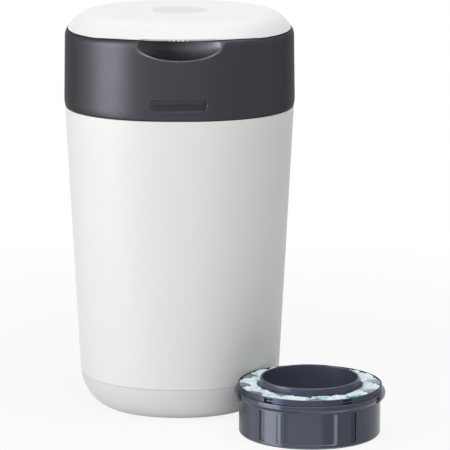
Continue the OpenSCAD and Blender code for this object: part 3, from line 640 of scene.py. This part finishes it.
profile = [(SKIRT_IN, HEAD_LOW, 0.4)]
profile += arc(head_r - SKIRT_ROUND, HEAD_LOW + SKIRT_HIGH, SKIRT_ROUND, SKIRT_HIGH, -90, 0, 6)
profile += ladder((head_r, HEAD_LOW + SKIRT_HIGH), (TOP_R, SHOULDER_Z), 26)
profile += arc(TOP_R - SHOULDER_W, SHOULDER_Z, SHOULDER_W, SHOULDER_H, 0, SHOULDER_TURN, 8)
profile += ladder((TOP_R - 3.2, DECK_Z), (HOLE_FLAT, DECK_Z), 8)
profile += [(HOLE_FLAT, DECK_Z, 0), (HOLE_R, DECK_Z, 1.2), (HOLE_R, NECK_LOW, 0.3)]
profile += [(NECK_OUT, NECK_LOW, 0.3), (NECK_OUT, DECK_Z - DECK_WALL, 0.4)]
profile += ladder((NECK_OUT, DECK_Z - DECK_WALL), (TOP_R - 5.8, DECK_Z - DECK_WALL), 8)
profile += [(TOP_R - 5.8, DECK_Z - DECK_WALL, 0), (TOP_R - 3.4, SHOULDER_Z + 2.4, 0.5)]
profile += [(TOP_R - HEAD_WALL, SHOULDER_Z - 2, 0)]
profile += ladder((TOP_R - HEAD_WALL, SHOULDER_Z - 2), (head_r - HEAD_WALL, HEAD_LOW + 9), 20)
profile += [(head_r - HEAD_WALL, HEAD_LOW + 9, 0), (SKIRT_IN, HEAD_LOW + 1.5, 0.4)]


def head_power(r, z):
    """Round at the dial's hole, squarer at the wall."""
    return 2 + (HEAD_POWER - 2) * smoothstep(HOLE_R + 4, TOP_R - 6, r)


head = square_up(spin(draw_profile(profile), 288), head_power)
print("head form:", len(head.faces), "faces")

# %% [markdown]
# ## Pressing in the front
# The finger scoop and the blank badge bed are pressed into the front by moving vertices, in patches
# that are subdivided first for crisp rims. A Boolean would leave hard edges, and pressing keeps one
# smooth skin. Beside the scoop, the deck's front edge rises a little towards the lid.

# %% Finger scoop and badge bed
SCOOP = {"x": 1, "wide": 51.6, "deep": 17, "high": 20.3, "face": 0.5 - head_r, "z": 444.8}
SCOOP_RIM = 1.3
SCOOP_WALL = 2.4
BADGE = {"wide": 31.5, "high": 6.1, "corner": 4.8, "z": HEAD_LOW + 17.5, "deep": 1.1}
PATCHES = ((56, 419, 446), (36, 364, 384))  # half width, lowest and highest place
PATCH_Y = -108
FRONT_Y = -100
FRONT_RISE = 1.4
FADE = (112, 60)  # the front's rise starts this far to the side, and is full here


def scoop_face(x, z, wall):
    """Depth coordinate of the scoop's surface, grown by a wall's thickness, or None outside it."""
    across = (x - SCOOP["x"]) / (SCOOP["wide"] + wall)
    down = min(0, z - SCOOP["z"]) / (SCOOP["high"] + wall)
    inside = 1 - across ** 2 - down ** 2
    return SCOOP["face"] + (SCOOP["deep"] + wall) * math.sqrt(inside) if inside > 0 else None


def badge_distance(x, z):
    """Distance outside the badge bed's rounded rectangle, negative inside."""
    dx = abs(x) - BADGE["wide"] + BADGE["corner"]
    dz = abs(z - BADGE["z"]) - BADGE["high"] + BADGE["corner"]
    return math.hypot(max(dx, 0), max(dz, 0)) + min(max(dx, dz), 0) - BADGE["corner"]


def near_front(face, half_wide, low, high):
    """Whether a face of the front wall lies in a patch."""
    c = face.calc_center_median() / MM
    return c.y < PATCH_Y and abs(c.x) < half_wide and low < c.z < high


def press_front(bm):
    """Moves the front's vertices to the scoop's surface and the badge's bed."""
    patch = {f for f in bm.faces if any(near_front(f, *limits) for limits in PATCHES)}
    edges = [e for e in bm.edges if not patch.isdisjoint(e.link_faces)]
    bmesh.ops.subdivide_edges(bm, edges=edges, cuts=4, use_grid_fill=True)
    bm.normal_update()
    for vert in bm.verts:
        x, y, z = vert.co / MM
        if y > FRONT_Y:
            continue
        outer = vert.normal.y < -0.1 or vert.normal.z > 0.5
        face_y = scoop_face(x, z, 0 if outer else SCOOP_WALL)
        if face_y is not None and face_y > y - SCOOP_RIM:
            over = face_y - y
            y = face_y if over > SCOOP_RIM else y + (over + SCOOP_RIM) ** 2 / (4 * SCOOP_RIM)
        if outer:
            beside = smoothstep(*FADE, abs(x)) * smoothstep(32, 50, abs(x))
            z += FRONT_RISE * smoothstep(SHOULDER_Z, DECK_Z, z) * beside
        if outer and vert.normal.z < 0.5:
            y += BADGE["deep"] * smoothstep(0.35, -0.35, badge_distance(x, z))
        vert.co.yz = y * MM, z * MM
    bmesh.ops.dissolve_degenerate(bm, edges=bm.edges, dist=2e-6)


press_front(head)
print("front pressed:", len(head.faces), "faces")

# %% [markdown]
# ## The head's finish
# One half of the scoop lies in the shade of its own wall, and the other half and the lip catch
# light. A partly metallic grey shows little of that, so an oval mask on Object coordinates deepens
# the shade and lifts the light.

# %% Head finish
def scoop_painted_light(bench, tone):
    """Paints shade on the scoop's left half, and paints light on its right half and a highlight on its lip.
    """
    x, y, z = bench.place_parts()
    across = (x - SCOOP["x"]) * (1 / SCOOP["wide"])
    down = (z - SCOOP["z"]) * (1 / SCOOP["high"])
    oval = across * across + down * down
    foot = SCOOP["z"] - SCOOP["high"]
    front = bench.ramp(y, -105, -110) * bench.ramp(z, DECK_Z + 0.4, DECK_Z - 0.4)
    inside = front * bench.ramp(oval, 1.00, 0.93)
    shade = inside * bench.band(x, -34, 0, 11) * bench.ramp(z, foot, foot + 10, 0.25, 0.62)
    light = inside * bench.ramp(x, 6, 40, 0, 0.36)
    lip = front * bench.band(oval, 0.955, 1.07, 0.03) * bench.ramp(z, DECK_Z - 6, DECK_Z - 15, 0, 0.5)
    tone = bench.mix(shade, tone, screen(8, 8, 9))
    tone = bench.mix(lip, tone, screen(150, 152, 160))
    return bench.mix(light, tone, screen(118, 117, 124))


head_grey = plastic("head_grey", screen(63, 62, 67), 0.38, grain_depth=0.003, drift=0.004, flake=0.66,
                    edge=0.12, marks=scoop_painted_light)
print("head finish:", len(head_grey.node_tree.nodes), "nodes")

# %% [markdown]
# ## A slot in the skirt
# The tub's ears stand in a slot in the head's skirt. It is a plain cut, which a Boolean with a box
# makes cleanly.

# %% Slot in the skirt
SLOT_SIZE = (72, 20, 9)


def carve(piece, cutter, name):
    """Cuts one bmesh out of a finished piece and applies the result."""
    tool = add_object(name, as_mesh(cutter, name))
    cut = piece.modifiers.new("cut", "BOOLEAN")
    cut.operation = "DIFFERENCE"
    cut.solver = "EXACT"
    cut.object = tool
    bpy.context.view_layer.update()
    result = bpy.data.meshes.new_from_object(piece.evaluated_get(bpy.context.evaluated_depsgraph_get()))
    piece.modifiers.clear()
    piece.data = result
    bpy.data.objects.remove(tool)
    print(f"{name} cut, {len(result.polygons)} faces left")


head_piece = make(head, "head", head_grey, "head", "head_grey", "head_shell")
slot_box = block(*SLOT_SIZE)
move(slot_box, 0, head_r, HEAD_LOW + 3.5)
carve(head_piece, slot_box, "hinge_slot")

# %% [markdown]
# ## The head's hinges
# One arm reaches down from the back of the head to the pin in the tub's ears, and two smaller ears
# above it carry the lid. They are drawn as the tub's ears are.

# %% Head's hinge arm and lid ears
arm_outline = [(HEAD_HINGE[0], HEAD_HINGE[1]), (HEAD_HINGE[0] + HEAD_KNUCKLE, HEAD_HINGE[1] + 1),
               (head_r + 3, HEAD_LOW + 16), (head_r - 1.5, HEAD_LOW + 22), (head_r - 1.8, HEAD_LOW + 8.5),
               (HEAD_HINGE[0] - 4.6, HEAD_HINGE[1] + 3)]
lid_ear_outline = [(LID_HINGE[0] + LID_KNUCKLE, LID_HINGE[1] - 0.5), (LID_HINGE[0], LID_HINGE[1]),
                   (LID_HINGE[0] - LID_KNUCKLE, LID_HINGE[1] - 1.5), (TOP_R - 1.6, SHOULDER_Z - 1),
                   (TOP_R - 1.6, SHOULDER_Z - 20), (TOP_R + 1, SHOULDER_Z - 19)]
extras = knuckled(arm_outline, -ARM_HALF, ARM_HALF, HEAD_KNUCKLE, HEAD_HINGE)
for low, high in ((-24, -14), (14, 24)):
    extras += knuckled(lid_ear_outline, low, high, LID_KNUCKLE, LID_HINGE, 0.4)
make(gather(*extras), "head_hinge_parts", head_grey, "head", "head_grey", "head_shell")

# %% [markdown]
# ## Ribs and bosses
# A thin deck would flex, so ribs run under it, and bosses take the screws of the well below. Both
# repeat round a circle: each is made at the axis, moved out and turned to its place.

# %% Ribs and bosses
RIBS = 8
RIB_SIZE = (27, 2, 8)
RIB_R = 119
BOSSES = 6
BOSS_R = 3.5

ribs = []
for k in range(RIBS):
    rib = soften(block(*RIB_SIZE), 0.3)
    move(rib, RIB_R, 0, DECK_Z - 6.4)
    rotate(rib, 180 / RIBS + 360 * k / RIBS)
    ribs.append(rib)
for k in range(BOSSES):
    boss = spin(draw_profile([(0, NECK_LOW, 0), (BOSS_R, NECK_LOW, 0.3), (BOSS_R, DECK_Z - 1, 0),
                              (0, DECK_Z - 1, 0)]), 32)
    move(boss, HOLE_R + 5.5)
    rotate(boss, 180 / BOSSES + 360 * k / BOSSES)
    ribs.append(boss)
make(gather(*ribs), "head_ribs", head_grey, "head", "head_grey", "head_shell")

# %% [markdown]
# ## The blank badge
# The badge is a thin plate that follows the curve of the wall. It starts as a rectangle with
# rounded corners, is cut into strips so that it can bend, and is then laid on the wall.

# %% Badge plate
BADGE_GAP = 0.3
BADGE_ROUND = 4.5
BADGE_THICK = 0.8
BADGE_SUNK = 0.85
STRIP = 2.5

badge = bmesh.new()
half_w = (BADGE["wide"] - BADGE_GAP) * MM
half_h = (BADGE["high"] - BADGE_GAP) * MM
badge_verts = [badge.verts.new((x * half_w, 0, BADGE["z"] * MM + z * half_h))
               for x, z in ((-1, -1), (1, -1), (1, 1), (-1, 1))]
badge.faces.new(badge_verts)
round_off(badge, badge_verts, BADGE_ROUND, "VERTICES", 8)
for k in range(-12, 13):
    bmesh.ops.bisect_plane(badge, geom=badge.verts[:] + badge.edges[:] + badge.faces[:],
                           plane_co=(k * STRIP * MM, 0, 0), plane_no=(1, 0, 0))
thicken(badge, y=BADGE_THICK)
soften(badge, 0.25, 60)
for vert in badge.verts:
    front = (1 - abs(vert.co.x / MM / head_r) ** HEAD_POWER) ** (1 / HEAD_POWER)
    vert.co.y += (BADGE_SUNK - head_r * front) * MM
make(badge, "badge", badge_grey, "head", "badge_grey", "badge_plate")

# %% [markdown]
# ## The lid
# The lid is flat in the middle and rolls over steeply at its edge, as a formula with a high power
# does. Its profile is spun and squared up, but the dish in the middle stays round, so the power
# starts at 2 there. The dish's floor is toned greyer by its distance from the axis. Along the front
# the edge is lifted a little, most over the scoop, so that a dark gap shows.

# %% Lid sizes and finish
LID_LOW = DECK_Z + 0.6
LID_EDGE = LID_LOW + 0.6
LID_RISE = lid_top - LID_EDGE
FLATNESS = 11.8
ROLL = 1.11
LID_SQUARE = 0.15
DISH_R = 33
DISH_DEEP = 0.9
LID_WALL = 2.4
EDGE_LIFT = 1.5
MIDDLE_LIFT = 0.9


def lid_marks(bench, tone):
    """The floor of the round dish is moulded in a greyer tone."""
    dish = bench.ramp(bench.reach(0, 0), DISH_R + 0.2, DISH_R - 0.4, 0, 0.75)
    return bench.mix(dish, tone, screen(218, 218, 220))


lid_white = plastic("lid_white", screen(240, 240, 240), 0.46, grain_depth=0.004, drift=0.006, marks=lid_marks)
print(f"lid {lid_top - LID_LOW:.1f} mm high")

# %% Lid shell
def dome(u):
    """Height of the dome as a share of its rise, at a share of its radius."""
    return (1 - u ** FLATNESS) ** ROLL


def dome_corners(r, z, rise, inner_u, steps):
    """Corners of the dome from its edge inwards, closer together near the edge."""
    spread = [1 - (1 - inner_u) * (k / steps) ** 2 for k in range(steps + 1)]
    return [(r * u, z + rise * dome(u), 0) for u in spread]


lid_in_r = lid_r - LID_WALL
lid_in_rise = LID_RISE + 0.6 - LID_WALL
profile = [(0, LID_LOW + lid_in_rise, 0)]
profile += dome_corners(lid_in_r, LID_LOW, lid_in_rise, 0.3, 16)[::-1]
profile += [(lid_r - 0.7, LID_LOW, 0.2)]
profile += dome_corners(lid_r, LID_EDGE, LID_RISE, (DISH_R + 1.5) / lid_r, 34)
profile += [(DISH_R, lid_top, 0.8), (DISH_R - 0.6, lid_top - DISH_DEEP, 0.5), (0, lid_top - DISH_DEEP, 0)]


def lid_power(r, z):
    """Round over the dish, a little squarer outside it and again at the edge."""
    u = r / lid_r
    return 2 + LID_SQUARE * smoothstep(0.27, 0.6, u) + LID_SQUARE * u ** 4


lid = square_up(spin(draw_profile(profile)), lid_power)
for vert in lid.verts:
    x, y, z = vert.co / MM
    if y < FRONT_Y:
        lift = EDGE_LIFT * smoothstep(*FADE, abs(x)) + MIDDLE_LIFT * smoothstep(45, 40, abs(x))
        vert.co.z += lift * smoothstep(LID_LOW + 9, LID_LOW + 1, z) * MM
make(lid, "lid", lid_white, "lid", "lid_white", "lid_shell")

# %% [markdown]
# ## The lid's hinge arm and grip beads
# The lid's arm ends in a knuckle between the head's two small ears. Five beads along the lifted
# front edge give fingertips a grip. Each is a tiny spun peg, and the outer two are smaller.

# %% Lid's hinge arm and grip beads
lid_arm_outline = [(LID_HINGE[0], LID_HINGE[1] + LID_KNUCKLE), (LID_HINGE[0], LID_HINGE[1] + 0.2),
                   (lid_r - 1.6, LID_LOW + 0.2), (lid_r - 1.6, LID_LOW + 3),
                   (LID_HINGE[0] - 3, LID_LOW + 3.6)]
extras = knuckled(lid_arm_outline, -ARM_HALF, ARM_HALF, LID_KNUCKLE, LID_HINGE, 0.4)
for k in range(-2, 3):
    full = 1.2 if abs(k) < 2 else 0.7
    bead = spin(draw_profile([(0, -1.3, 0), (full, -1.3, 0.6 * full), (full, 0.6, 0), (0, 0.6, 0)]), 20)
    move(bead, 5 * k, -lid_r + 1.2, LID_LOW + 1.8)
    extras.append(bead)
make(gather(*extras), "lid_hinge_and_beads", lid_white, "lid", "lid_white", "lid_shell")

# %% [markdown]
# ## The cassette
# The cassette is a ring-shaped cup with a lip and two drive lugs, a rim with snap windows and a
# core that the nappy goes through. Each is spun about the cassette's own axis, has its panels,
# grooves or windows pressed in towards that axis, and is then set down in its place.

# %% Cassette sizes and helpers
CUP_R = 80.6
CUP_WALL = 2
LIP_R = 83.2
LIP_TOP = 50.6
LIP_LOW = LIP_TOP - 7.1
LUG_R = 86
RING_R = 82
RING_TOP = 57.4
BAND_IN = RING_R - 1.6
PLUG_R = CUP_R - CUP_WALL - 0.15
CORE_R = 54.2
CORE_TOP = core_high.z
CASSETTE_TURN = -4


def set_down(bm):
    """Turns a cassette piece and puts it where the frame's cassette stands."""
    rotate(bm, CASSETTE_TURN)
    move(bm, cassette_middle.x, cassette_middle.y)
    return bm


def front_angle(vert):
    """Degrees away from the front or from the back, whichever is nearer."""
    angle = abs(math.degrees(math.atan2(vert.co.x, -vert.co.y)))
    return min(angle, 180 - angle)


def press_in(vert, depth):
    r = math.hypot(vert.co.x, vert.co.y)
    vert.co.x *= 1 - depth * MM / r
    vert.co.y *= 1 - depth * MM / r


print(f"cassette {2 * LUG_R} mm over its lugs, {CORE_TOP:.1f} mm high")

# %% [markdown]
# ## The cassette's finishes
# Cup and ring are a glossy blue-grey. Their grooves and gaps are too narrow for the lamps to shade
# well, so bands at those distances from the axis paint shade into them, and the slopes beside the
# panels get a painted highlight.

# %% Cassette finishes
def cup_painted_light(bench, tone):
    """The grooves get painted shade, and the slopes beside the panels a painted highlight."""
    reach = bench.reach(cassette_middle.x, cassette_middle.y)
    slope_highlight = bench.band(reach, CUP_R - 0.8, CUP_R - 0.2, 0.1)
    groove = bench.band(reach, CUP_R - 2.6, CUP_R - 1.3, 0.2)
    lighter = bench.mix(slope_highlight * 0.7, tone, screen(128, 136, 152))
    return bench.mix(groove * 0.85, lighter, screen(26, 28, 38))


def ring_painted_shade(bench, tone):
    """Paints shade as a black band round the top, in the gap where the ring's inner edge stands clear of the
    film.
    """
    _, _, z = bench.place_parts()
    reach = bench.reach(cassette_middle.x, cassette_middle.y)
    line = bench.band(reach, BAND_IN - 0.9, BAND_IN + 0.5, 0.2)
    return bench.mix(line * bench.ramp(z, RING_TOP - 2.4, RING_TOP - 0.8, 0, 0.85), tone, screen(14, 15, 22))


cup_grey = plastic("cup_grey", screen(54, 60, 76), 0.20, grain_depth=0.002, drift=0.06, flake=0.5,
                   edge=0.3, coat=0.6, marks=cup_painted_light)
ring_grey = plastic("ring_grey", screen(66, 70, 86), 0.24, grain_depth=0.003, drift=0.06, flake=0.5,
                    edge=0.3, marks=ring_painted_shade)
print("cassette finishes ready")

# %% [markdown]
# ## The cup
# The cup is a ring-shaped trough. Front and back it has a shallow panel between two upright
# grooves. They end between close rows of vertices in the wall, so their rims come out sharp.

# %% Cassette cup
PANEL_TOP = LIP_LOW - 3.5
PANEL_DEEP = 0.9
PANEL_EDGE = (21, 26)  # degrees, as are the groove's limits
GROOVE_DEEP = 1.7
GROOVE_FROM = 37.2
GROOVE_TO = 42.8
profile = [(CORE_R + 2.2, 0, 0.3), (CUP_R, 0, 3), (CUP_R, 4.8, 0), (CUP_R, 5.5, 0)]
profile += ladder((CUP_R, 5.5), (CUP_R, PANEL_TOP - 0.7), 6)
profile += [(CUP_R, PANEL_TOP - 0.7, 0), (CUP_R, PANEL_TOP, 0), (CUP_R, LIP_LOW - 1.5, 0.6)]
profile += [(LIP_R - 1, LIP_LOW + 0.2, 0.6), (LIP_R, LIP_LOW + 1.6, 0.8), (LIP_R, LIP_TOP, 1.6)]
profile += [(CUP_R - CUP_WALL, LIP_TOP, 0), (CUP_R - CUP_WALL, CUP_WALL, 1.5)]
profile += [(CORE_R + 2.2, CUP_WALL, 0.3)]
cup = spin(draw_profile(profile), 720)
for vert in cup.verts:
    r = math.hypot(vert.co.x, vert.co.y) / MM
    z = vert.co.z / MM
    if r > CUP_R - 0.2 and 5.2 < z < PANEL_TOP - 0.3:
        away = front_angle(vert)
        groove = GROOVE_DEEP if GROOVE_FROM <= away <= GROOVE_TO else 0
        press_in(vert, PANEL_DEEP * (1 - smoothstep(*PANEL_EDGE, away)) + groove)
print("cup form:", len(cup.faces), "faces")

# %% [markdown]
# ## Drive lugs
# A lug on each side of the lip fits the cradle that turns the cassette. It is a profile swept
# through part of a turn, with its two open ends filled and its edges softened.

# %% Drive lugs
LUG_SPAN = 40

lugs = []
for side in (90, 270):
    lug = draw_profile([(CUP_R - 1, LIP_LOW - 2, 0), (LUG_R - 3, LIP_LOW - 2, 1), (LUG_R, LIP_LOW + 1, 1.5),
                        (LUG_R, LIP_TOP - 0.4, 2), (CUP_R - 1, LIP_TOP - 0.4, 0)])
    sweep(lug, LUG_SPAN, math.radians(LUG_SPAN))
    bmesh.ops.holes_fill(lug, edges=[e for e in lug.edges if e.is_boundary])
    bmesh.ops.recalc_face_normals(lug, faces=lug.faces)
    soften(lug, 0.8, 50)
    rotate(lug, side - 90 - LUG_SPAN / 2)
    lugs.append(lug)
make(set_down(gather(cup, *lugs)), "cassette_cup_skin", cup_grey, "cassette", "cassette_blue_grey",
     "cassette_cup")

# %% [markdown]
# ## The rim
# A rim snaps into the top of the cup. Its four windows are blind pockets, each with a tongue
# across part of it, so they need no cut and are pressed in.

# %% Cassette rim with its windows
WINDOW_LOW = LIP_TOP + 0.3
WINDOW_AT = 32.5
WINDOW_HALF = 3.8
TONGUE_END = 34.4
WINDOW_DEEP = 3
profile = [(PLUG_R - 1.8, LIP_TOP - 4, 0.3), (PLUG_R, LIP_TOP - 4, 0.5), (PLUG_R, LIP_TOP, 0)]
profile += [(RING_R, LIP_TOP, 0.3)]
profile += [(RING_R, WINDOW_LOW + rise, 0) for rise in (0.4, 1.2, 1.5, 3.3, 3.6, 5, 5.3)]
profile += [(RING_R, RING_TOP, 0.8), (BAND_IN, RING_TOP, 0.6)]
profile += [(BAND_IN, RING_TOP - 2.4, 0.4), (PLUG_R - 1.8, RING_TOP - 2.4, 0.4)]
rim_form = spin(draw_profile(profile), 720)
for vert in rim_form.verts:
    r = math.hypot(vert.co.x, vert.co.y) / MM
    z = vert.co.z / MM
    away = front_angle(vert)
    in_window = abs(away - WINDOW_AT) < WINDOW_HALF and WINDOW_LOW + 0.3 < z < WINDOW_LOW + 5.1
    tongue = WINDOW_LOW + 1.4 < z < WINDOW_LOW + 3.4 and away < TONGUE_END
    if r > RING_R - 0.2 and in_window and not tongue:
        press_in(vert, WINDOW_DEEP)
make(set_down(rim_form), "cassette_rim", ring_grey, "cassette", "cassette_ring_grey", "cassette_top_ring")

# %% [markdown]
# ## The tabs
# Twelve tabs reach in from the rim and hold the film down. They are springy and dip towards their
# tips. A tab is a small grid, narrowed and bent by moving its vertices and then thickened. Each is
# turned to its place round the axis, and a few are sunk in the film.

# %% Film tabs
TABS = 12
TAB_FIRST = 8
TAB_REACH = 13.5
TAB_HALF = 9.6
UNDER_FILM = (1, 4, 8, 10)


def tab_half(along):
    """Half a tab's width; along runs from 0 at the rim to 1 at the tip."""
    return TAB_HALF * (0.12 + 0.88 * math.sqrt(max(0, 1 - (0.98 * along) ** 2.6)))


def tab_form():
    """One tab that points from the rim towards the axis, drawn along +X."""
    bm = bmesh.new()
    bmesh.ops.create_grid(bm, x_segments=10, y_segments=12, size=1)
    for vert in bm.verts:
        along = (vert.co.x + 1) / 2
        across = vert.co.y
        r = BAND_IN - TAB_REACH * along * (1 - 0.10 * across ** 2)
        z = RING_TOP - 0.9 + 0.7 * math.sin(along * 2.4) * (1 - across ** 2) - 1.8 * along ** 3
        vert.co = Vector((r, tab_half(along) * across, z)) * MM
    thicken(bm, z=-0.8)
    return bm


tabs = []
for k in range(TABS):
    tab = tab_form()
    move(tab, z=-2.6 if k in UNDER_FILM else 0)
    rotate(tab, TAB_FIRST + 360 * k / TABS)
    tabs.append(tab)
make(set_down(gather(*tabs)), "cassette_tabs", lobe_lilac, "cassette", "cassette_ring_grey",
     "cassette_top_ring")

# %% [markdown]
# ## The core
# The nappy goes down through the core, a tube with a small collar round it. It is one closed
# profile, spun with its wall in it.

# %% Core
profile = [(CORE_R, 0.4, 0.3), (CORE_R + 2, 0.4, 0.3), (CORE_R + 2, CORE_TOP - 15, 1)]
profile += [(CORE_R + 5.4, CORE_TOP - 12.5, 0.6), (CORE_R + 5.4, CORE_TOP - 11.3, 0.4)]
profile += [(CORE_R + 2.5, CORE_TOP - 9.5, 1.2), (CORE_R + 2.5, CORE_TOP, 1.3), (CORE_R, CORE_TOP, 1.2)]
make(set_down(spin(draw_profile(profile))), "cassette_core_tube", core_grey, "cassette",
     "cassette_blue_grey", "cassette_core")

# %% [markdown]
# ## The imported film
# Metres of thin film are gathered between cup and core, and its top shows between the tabs as a
# crumpled band. Its spun top is creased with ridged noise, which folds a smooth noise over at zero
# and so gives sharp creases. The sides stay plain, because the cup hides them.

# %% Film
FILM_IN = CORE_R + 6
FILM_OUT = PLUG_R - 2.2
FILM_LOW = CUP_WALL + 0.3
FILM_TOP = RING_TOP - 3


def crease(x, y, scale):
    """Ridges between -1 and 0, sharp along their crests."""
    return -abs(noise.noise(Vector((x, y, 4.2)) * scale))


def held_down(x, y, r):
    """How much the nearest tab presses the film down here, 0 to 1."""
    turn = (math.degrees(math.atan2(y, x)) - TAB_FIRST) % 360
    nearest = round(turn * TABS / 360)
    if nearest % TABS in UNDER_FILM or r < BAND_IN - TAB_REACH - 2:
        return 0
    across = abs(math.radians(turn - nearest * 360 / TABS)) * r
    along = (BAND_IN - r) / TAB_REACH
    return smoothstep(tab_half(min(1, along)) + 2.6, tab_half(min(1, along)) + 0.4, across)


profile = [(FILM_IN, FILM_LOW, 0), (FILM_IN, FILM_TOP - 8, 0)]
profile += ladder((FILM_IN, FILM_TOP - 8), (FILM_IN, FILM_TOP), 3) + [(FILM_IN + 0.3, FILM_TOP, 0)]
profile += ladder((FILM_IN + 0.3, FILM_TOP), (BAND_IN - 0.3, FILM_TOP), 30)
profile += [(BAND_IN - 0.3, FILM_TOP, 0), (FILM_OUT, FILM_TOP - 1.4, 0)]
profile += [(FILM_OUT, FILM_TOP - 8, 0), (FILM_OUT, FILM_LOW, 0)]
film = spin(draw_profile(profile), 720)
for vert in film.verts:
    x, y, z = vert.co / MM
    r = math.hypot(x, y)
    if z > FILM_TOP - 0.5:
        swell = math.sin(math.pi * min(1, max(0, (r - FILM_IN) / (BAND_IN - FILM_IN)))) ** 0.5
        press = held_down(x, y, r)
        folds = 1.2 + 4.4 * crease(x, y, 0.15) + 1.2 * crease(y, x, 0.33) + 0.35 * crease(x, y, 0.9)
        folds += 1.6 * noise.noise(Vector((x, y, 9.1)) * 0.08)
        height = RING_TOP - 4.4 * press - (1.8 - 1.6 * swell) * (1 - press) + folds * (1 - 0.8 * press)
        vert.co.z = min(height, RING_TOP + 1.6) * MM
make(set_down(film), "cassette_film_folds", film_mint, "cassette", "film_mint", "cassette_film", sharp=60)

# %% [markdown]
# ## Everything else gets its finish
# The rest, mostly mechanism, is already right in the frame: its nodes stay and only take a finish.

# %% Finishes on the frame's own nodes
grips = [f"throat_grip_{side}" for side in ("front", "right", "back", "left")]
node_finishes = [
    (foot_rubber, ["foot_pads"]), (seal_rubber, ["lid_seal"]), (blade_steel, ["cutter_blade"]),
    (pin_steel, ["head_hinge_pin", "lid_hinge_pin", "grip_pins"]), (screw_steel, ["well_screws"]),
    (spring_steel, ["click_spring", "grip_springs"]), (base_white, ["lid_liner"]),
    (dial_grey, ["twist_ring"]), (grip_grey, grips),
    (works_grey, ["cassette_well", "grip_carrier", "cutter_guard", "cassette_cradle", "click_ring"]),
]
for finish, nodes in node_finishes:
    for node in nodes:
        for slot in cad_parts[node].material_slots:
            slot.material = finish
print(sum(len(nodes) for _, nodes in node_finishes), "nodes take a finish")

# %% [markdown]
# ## The floor
# Paint lit by the lamps alone would look grey, and a floor that only glows shows no shadow. So
# paint is mixed with a white glow of strength 1: all glow far off, with some paint near the object
# for its shadow. Seen in a glossy piece the floor glows less and is polished, to mirror the lamps.

# %% Floor
def shows_white(bench, gloss_share):
    """1 for a ray from the camera or through glass, and a share of 1 off a glossy surface."""
    seen, mirrored, through = (bench.node("LightPath", output=f"Is {kind} Ray")
                               for kind in ("Camera", "Glossy", "Transmission"))
    return seen.maths("MAXIMUM", seen.maths("MAXIMUM", seen, mirrored * gloss_share), through)


bench = Bench("floor_white")
mirrored = bench.node("LightPath", output="Is Glossy Ray")
from_middle = bench.node("VectorMath", {"operation": "LENGTH"}, {0: bench.place()}, 1)
far = bench.ramp(from_middle, 0.35, 1.0, 0.86, 1.0)
white_glow = bench.node("Emission", None, {"Color": (1, 1, 1, 1), "Strength": 1.0})
paint = bench.node("BsdfDiffuse", None, {"Color": (0.9, 0.9, 0.9, 1)})
sheen = bench.node("BsdfGlossy", None, {"Color": (1, 1, 1, 1), "Roughness": 0.14})
polished = bench.node("MixShader", None, {0: mirrored * 0.7, 1: paint, 2: sheen})
glowing = shows_white(bench, 0.4) * far
both = bench.node("MixShader", None, {0: glowing, 1: polished, 2: white_glow})
bench.node("OutputMaterial", None, {"Surface": both})

ground = bmesh.new()
bmesh.ops.create_grid(ground, x_segments=1, y_segments=1, size=4)
floor = add_object("floor", as_mesh(ground, "floor"))
floor.data.materials.append(bench.holder)
print("floor laid")

# %% [markdown]
# ## The surround
# The world lights the object only dimly, as a studio does between its lamps. The camera, gloss and
# glass see it as white at strength 1, which gives a white background without brighter lamps.

# %% Surround
surround = Bench("surround", bpy.data.worlds)
bpy.context.scene.world = surround.holder
dim = surround.node("Background", None, {"Color": (1, 1, 1, 1), "Strength": 0.12})
white = surround.node("Background", None, {"Color": (1, 1, 1, 1), "Strength": 1.0})
blend = surround.node("MixShader", None, {0: shows_white(surround, 1), 1: dim, 2: white})
surround.node("OutputWorld", None, {"Surface": blend})
print("surround set")

# %% [markdown]
# ## The lamps
# Soft boxes are area lamps, placed round the bin by bearing and height. The key and a weaker side
# box stand low on the left, a large one in front, one hangs high on the right and one behind. The
# glint box lights gloss alone, so the dark head gets its highlight and the white tub doesn't clip.

# %% Lamps
AIM_HEIGHT = 0.25


def soft_box(name, bearing, height_angle, away, wide, high, watts, glint=False):
    """A lamp aimed at the bin, at so many degrees to the left of the front and above the level."""
    aim = Vector((0, 0, AIM_HEIGHT))
    swing = Matrix.Rotation(math.radians(-bearing), 3, "Z")
    swing = swing @ Matrix.Rotation(math.radians(-height_angle), 3, "X")
    lamp = bpy.data.lights.new(name, "AREA")
    lamp.shape = "RECTANGLE"
    lamp.size = wide
    lamp.size_y = high
    lamp.energy = watts
    box = add_object(name, lamp)
    box.visible_diffuse = not glint
    box.location = swing @ Vector((0, -away, 0)) + aim
    box.rotation_euler = (aim - box.location).to_track_quat("-Z", "Y").to_euler()


soft_box("key_box", 58, 10, 2.2, 1.2, 1.6, 17)
soft_box("glint_box", 64, 8, 2.3, 1.7, 1.8, 52, glint=True)
soft_box("side_box", 96, 8, 2.2, 1.2, 1.6, 6)
soft_box("front_box", 8, 28, 2.8, 3.0, 2.2, 30)
soft_box("top_box", -80, 74, 2.3, 1.8, 1.8, 28)
soft_box("back_box", 180, 50, 2.4, 1.8, 1.2, 8)
bpy.context.scene.view_settings.view_transform = "Standard"
print("lamps lit")
